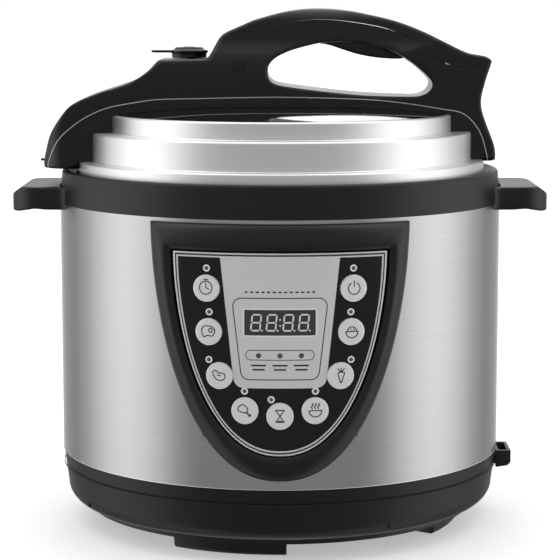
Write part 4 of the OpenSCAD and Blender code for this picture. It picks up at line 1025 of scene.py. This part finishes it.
fittings = {"pocket": 0.5, "foot": 0.9, "cup": 0.5}    # how far each kind's edges are rounded


def buildFittings():
    piece(softEdges("spoon_holder", fittings["pocket"]), "spoonHolder", "root", [baseBlack],
          ["spoon_holder"])
    for i, word in enumerate(("One", "Two", "Three", "Four"), 1):
        node = "foot_" + str(i)
        piece(softEdges(node, fittings["foot"]), "foot" + word, "root", [baseBlack], [node])
    node = "condensation_collector"
    piece(softEdges(node, fittings["cup"]), "waterCup", "collector", [cupSmoke], [node])


baseLines = {"crease": 35.4, "creaseHigh": 0.5, "proud": 0.1, "sunk": 0.3, "hem": 0.5, "hemRound": 0.2}


def buildBaseLines():  # the fine step round the base, and the sheet's rolled lower hem
    wide = corners("base_shell")[1].x
    z, high, out, sunk = [baseLines[key] for key in ("crease", "creaseHigh", "proud", "sunk")]
    crease = spun([(wide - sunk, z), (wide + out, z + 0.05),
                   (wide + out, z + high), (wide - sunk, z + high + 0.2)], 180)
    piece(crease, "baseCrease", "root", [innerBlack])
    z, r = sheetLow.z + 0.05, baseLines["hemRound"]
    hem = spun([(bodyR - 0.2, z)] + arc((bodyR + out - r, z + r), r, -90, 90, 4)
               + [(bodyR - 0.2, z + baseLines["hem"])], 180)
    piece(hem, "sheetHem", "root", [lidSteel])


buildSideGrips()
buildFittings()
buildBaseLines()
print("fittings made")

# stage, light and camera

view = {"distance": 1.2745, "height": 0.318, "tilt": 82.36, "lens": 131.95, "sensor": 36}
cameraData = bpy.data.cameras.new("camera")
cameraData.lens = view["lens"]
cameraData.sensor_width = view["sensor"]
camera = bpy.data.objects.new("camera", cameraData)
camera.location = (0, -view["distance"], view["height"])
camera.rotation_euler = (math.radians(view["tilt"]), 0, 0)
bpy.context.scene.collection.objects.link(camera)
bpy.context.scene.camera = camera
bpy.context.scene.view_settings.view_transform = "Standard"

ground = {"half": 40, "low": 0.88, "high": 0.9, "roughness": 0.7, "glow": 0.4, "patches": 3.0}
floorShape = bmesh.new()
bmesh.ops.create_grid(floorShape, x_segments=1, y_segments=1, size=ground["half"])
floor = meshed(floorShape, "floor")
floorWhite, floorTree, floorShader = newMaterial("floorWhite", Roughness=ground["roughness"])
floorNoise = add(floorTree, "TexNoise", {}, in_Scale=ground["patches"])
floorTone = add(floorTree, "Mix", {"Factor": floorNoise.outputs["Fac"]}, data_type="RGBA",
                in_6=grey(ground["low"]), in_7=grey(ground["high"]))
floorTree.links.new(floorTone.outputs[2], floorShader.inputs["Base Color"])
floorShader.inputs["Emission Color"].default_value = (1, 1, 1, 1)
floorShader.inputs["Emission Strength"].default_value = ground["glow"]
# reflections look past the floor to the room light
floorRays = add(floorTree, "LightPath", {})
floorClear = add(floorTree, "BsdfTransparent", {})
floorSeen = add(floorTree, "MixShader", {0: floorRays.outputs["Is Glossy Ray"], 1: floorShader.outputs[0],
                                         2: floorClear.outputs[0]})
floorTree.links.new(floorSeen.outputs[0], floorTree.nodes["Material Output"].inputs["Surface"])
floor.data.materials.append(floorWhite)

# room light: [share of the half turn from the camera's side to the far side, brightness]
room = [(0.0, 0.36), (0.16, 0.36), (0.23, 0.34), (0.28, 0.45), (0.32, 0.66), (0.36, 0.96), (0.41, 1.24),
        (0.48, 1.42), (0.54, 1.28), (0.6, 0.98), (0.67, 0.58), (0.75, 0.36), (0.86, 0.44), (0.94, 0.9),
        (1.0, 1.25)]
# and by height, from straight down to straight up
heights = [(0.0, 0.55), (0.3, 0.6), (0.41, 1.0), (0.66, 1.0), (0.8, 1.1), (1.0, 1.2)]


def rampOf(tree, source, stops):  # brightness by place, from (place, brightness) pairs
    top = max(v for _, v in stops)
    node = add(tree, "ValToRGB", {"Fac": source})
    node.color_ramp.interpolation = "EASE"
    node.color_ramp.elements[0].color = grey(stops[0][1] / top)
    node.color_ramp.elements[1].color = grey(stops[-1][1] / top)
    for position, value in stops[1:-1]:
        node.color_ramp.elements.new(position).color = grey(value / top)
    return add(tree, "VectorMath", {0: node.outputs["Color"]}, operation="SCALE", in_3=top).outputs[0]


world = bpy.data.worlds.new("studio")
bpy.context.scene.world = world
world.use_nodes = True
worldTree = world.node_tree        # the camera sees white; all else sees the room
backdrop = worldTree.nodes["Background"]
rays = add(worldTree, "LightPath", {})
spot = add(worldTree, "TexCoord", {})
parts = add(worldTree, "SeparateXYZ", {"Vector": spot.outputs["Generated"]})
front = add(worldTree, "Math", {0: parts.outputs["Y"]}, operation="MULTIPLY", in_1=-1.0)
turn = add(worldTree, "Math", {0: parts.outputs["X"], 1: front.outputs[0]}, operation="ARCTAN2")
side = add(worldTree, "Math", {0: turn.outputs[0]}, operation="ABSOLUTE")
share = add(worldTree, "Math", {0: side.outputs[0]}, operation="DIVIDE", in_1=math.pi)
lift = add(worldTree, "Math", {0: parts.outputs["Z"]}, operation="MULTIPLY_ADD", in_1=0.5, in_2=0.5)
bright = add(worldTree, "VectorMath", {0: rampOf(worldTree, share.outputs[0], room),
                                       1: rampOf(worldTree, lift.outputs[0], heights)}, operation="MULTIPLY")
seen = add(worldTree, "Mix", {"Factor": rays.outputs["Is Camera Ray"], 6: bright.outputs[0]},
           data_type="RGBA",
           in_7=(1, 1, 1, 1))
worldTree.links.new(seen.outputs[2], backdrop.inputs["Color"])

ceiling = {"strength": 0.55, "spread": 75, "lean": -14}
sunData = bpy.data.lights.new("ceiling", "SUN")
sunData.energy = ceiling["strength"]
sunData.angle = math.radians(ceiling["spread"])
sun = bpy.data.objects.new("ceiling", sunData)
sun.rotation_euler = (math.radians(ceiling["lean"]), 0, 0)
bpy.context.scene.collection.objects.link(sun)
print("stage set")
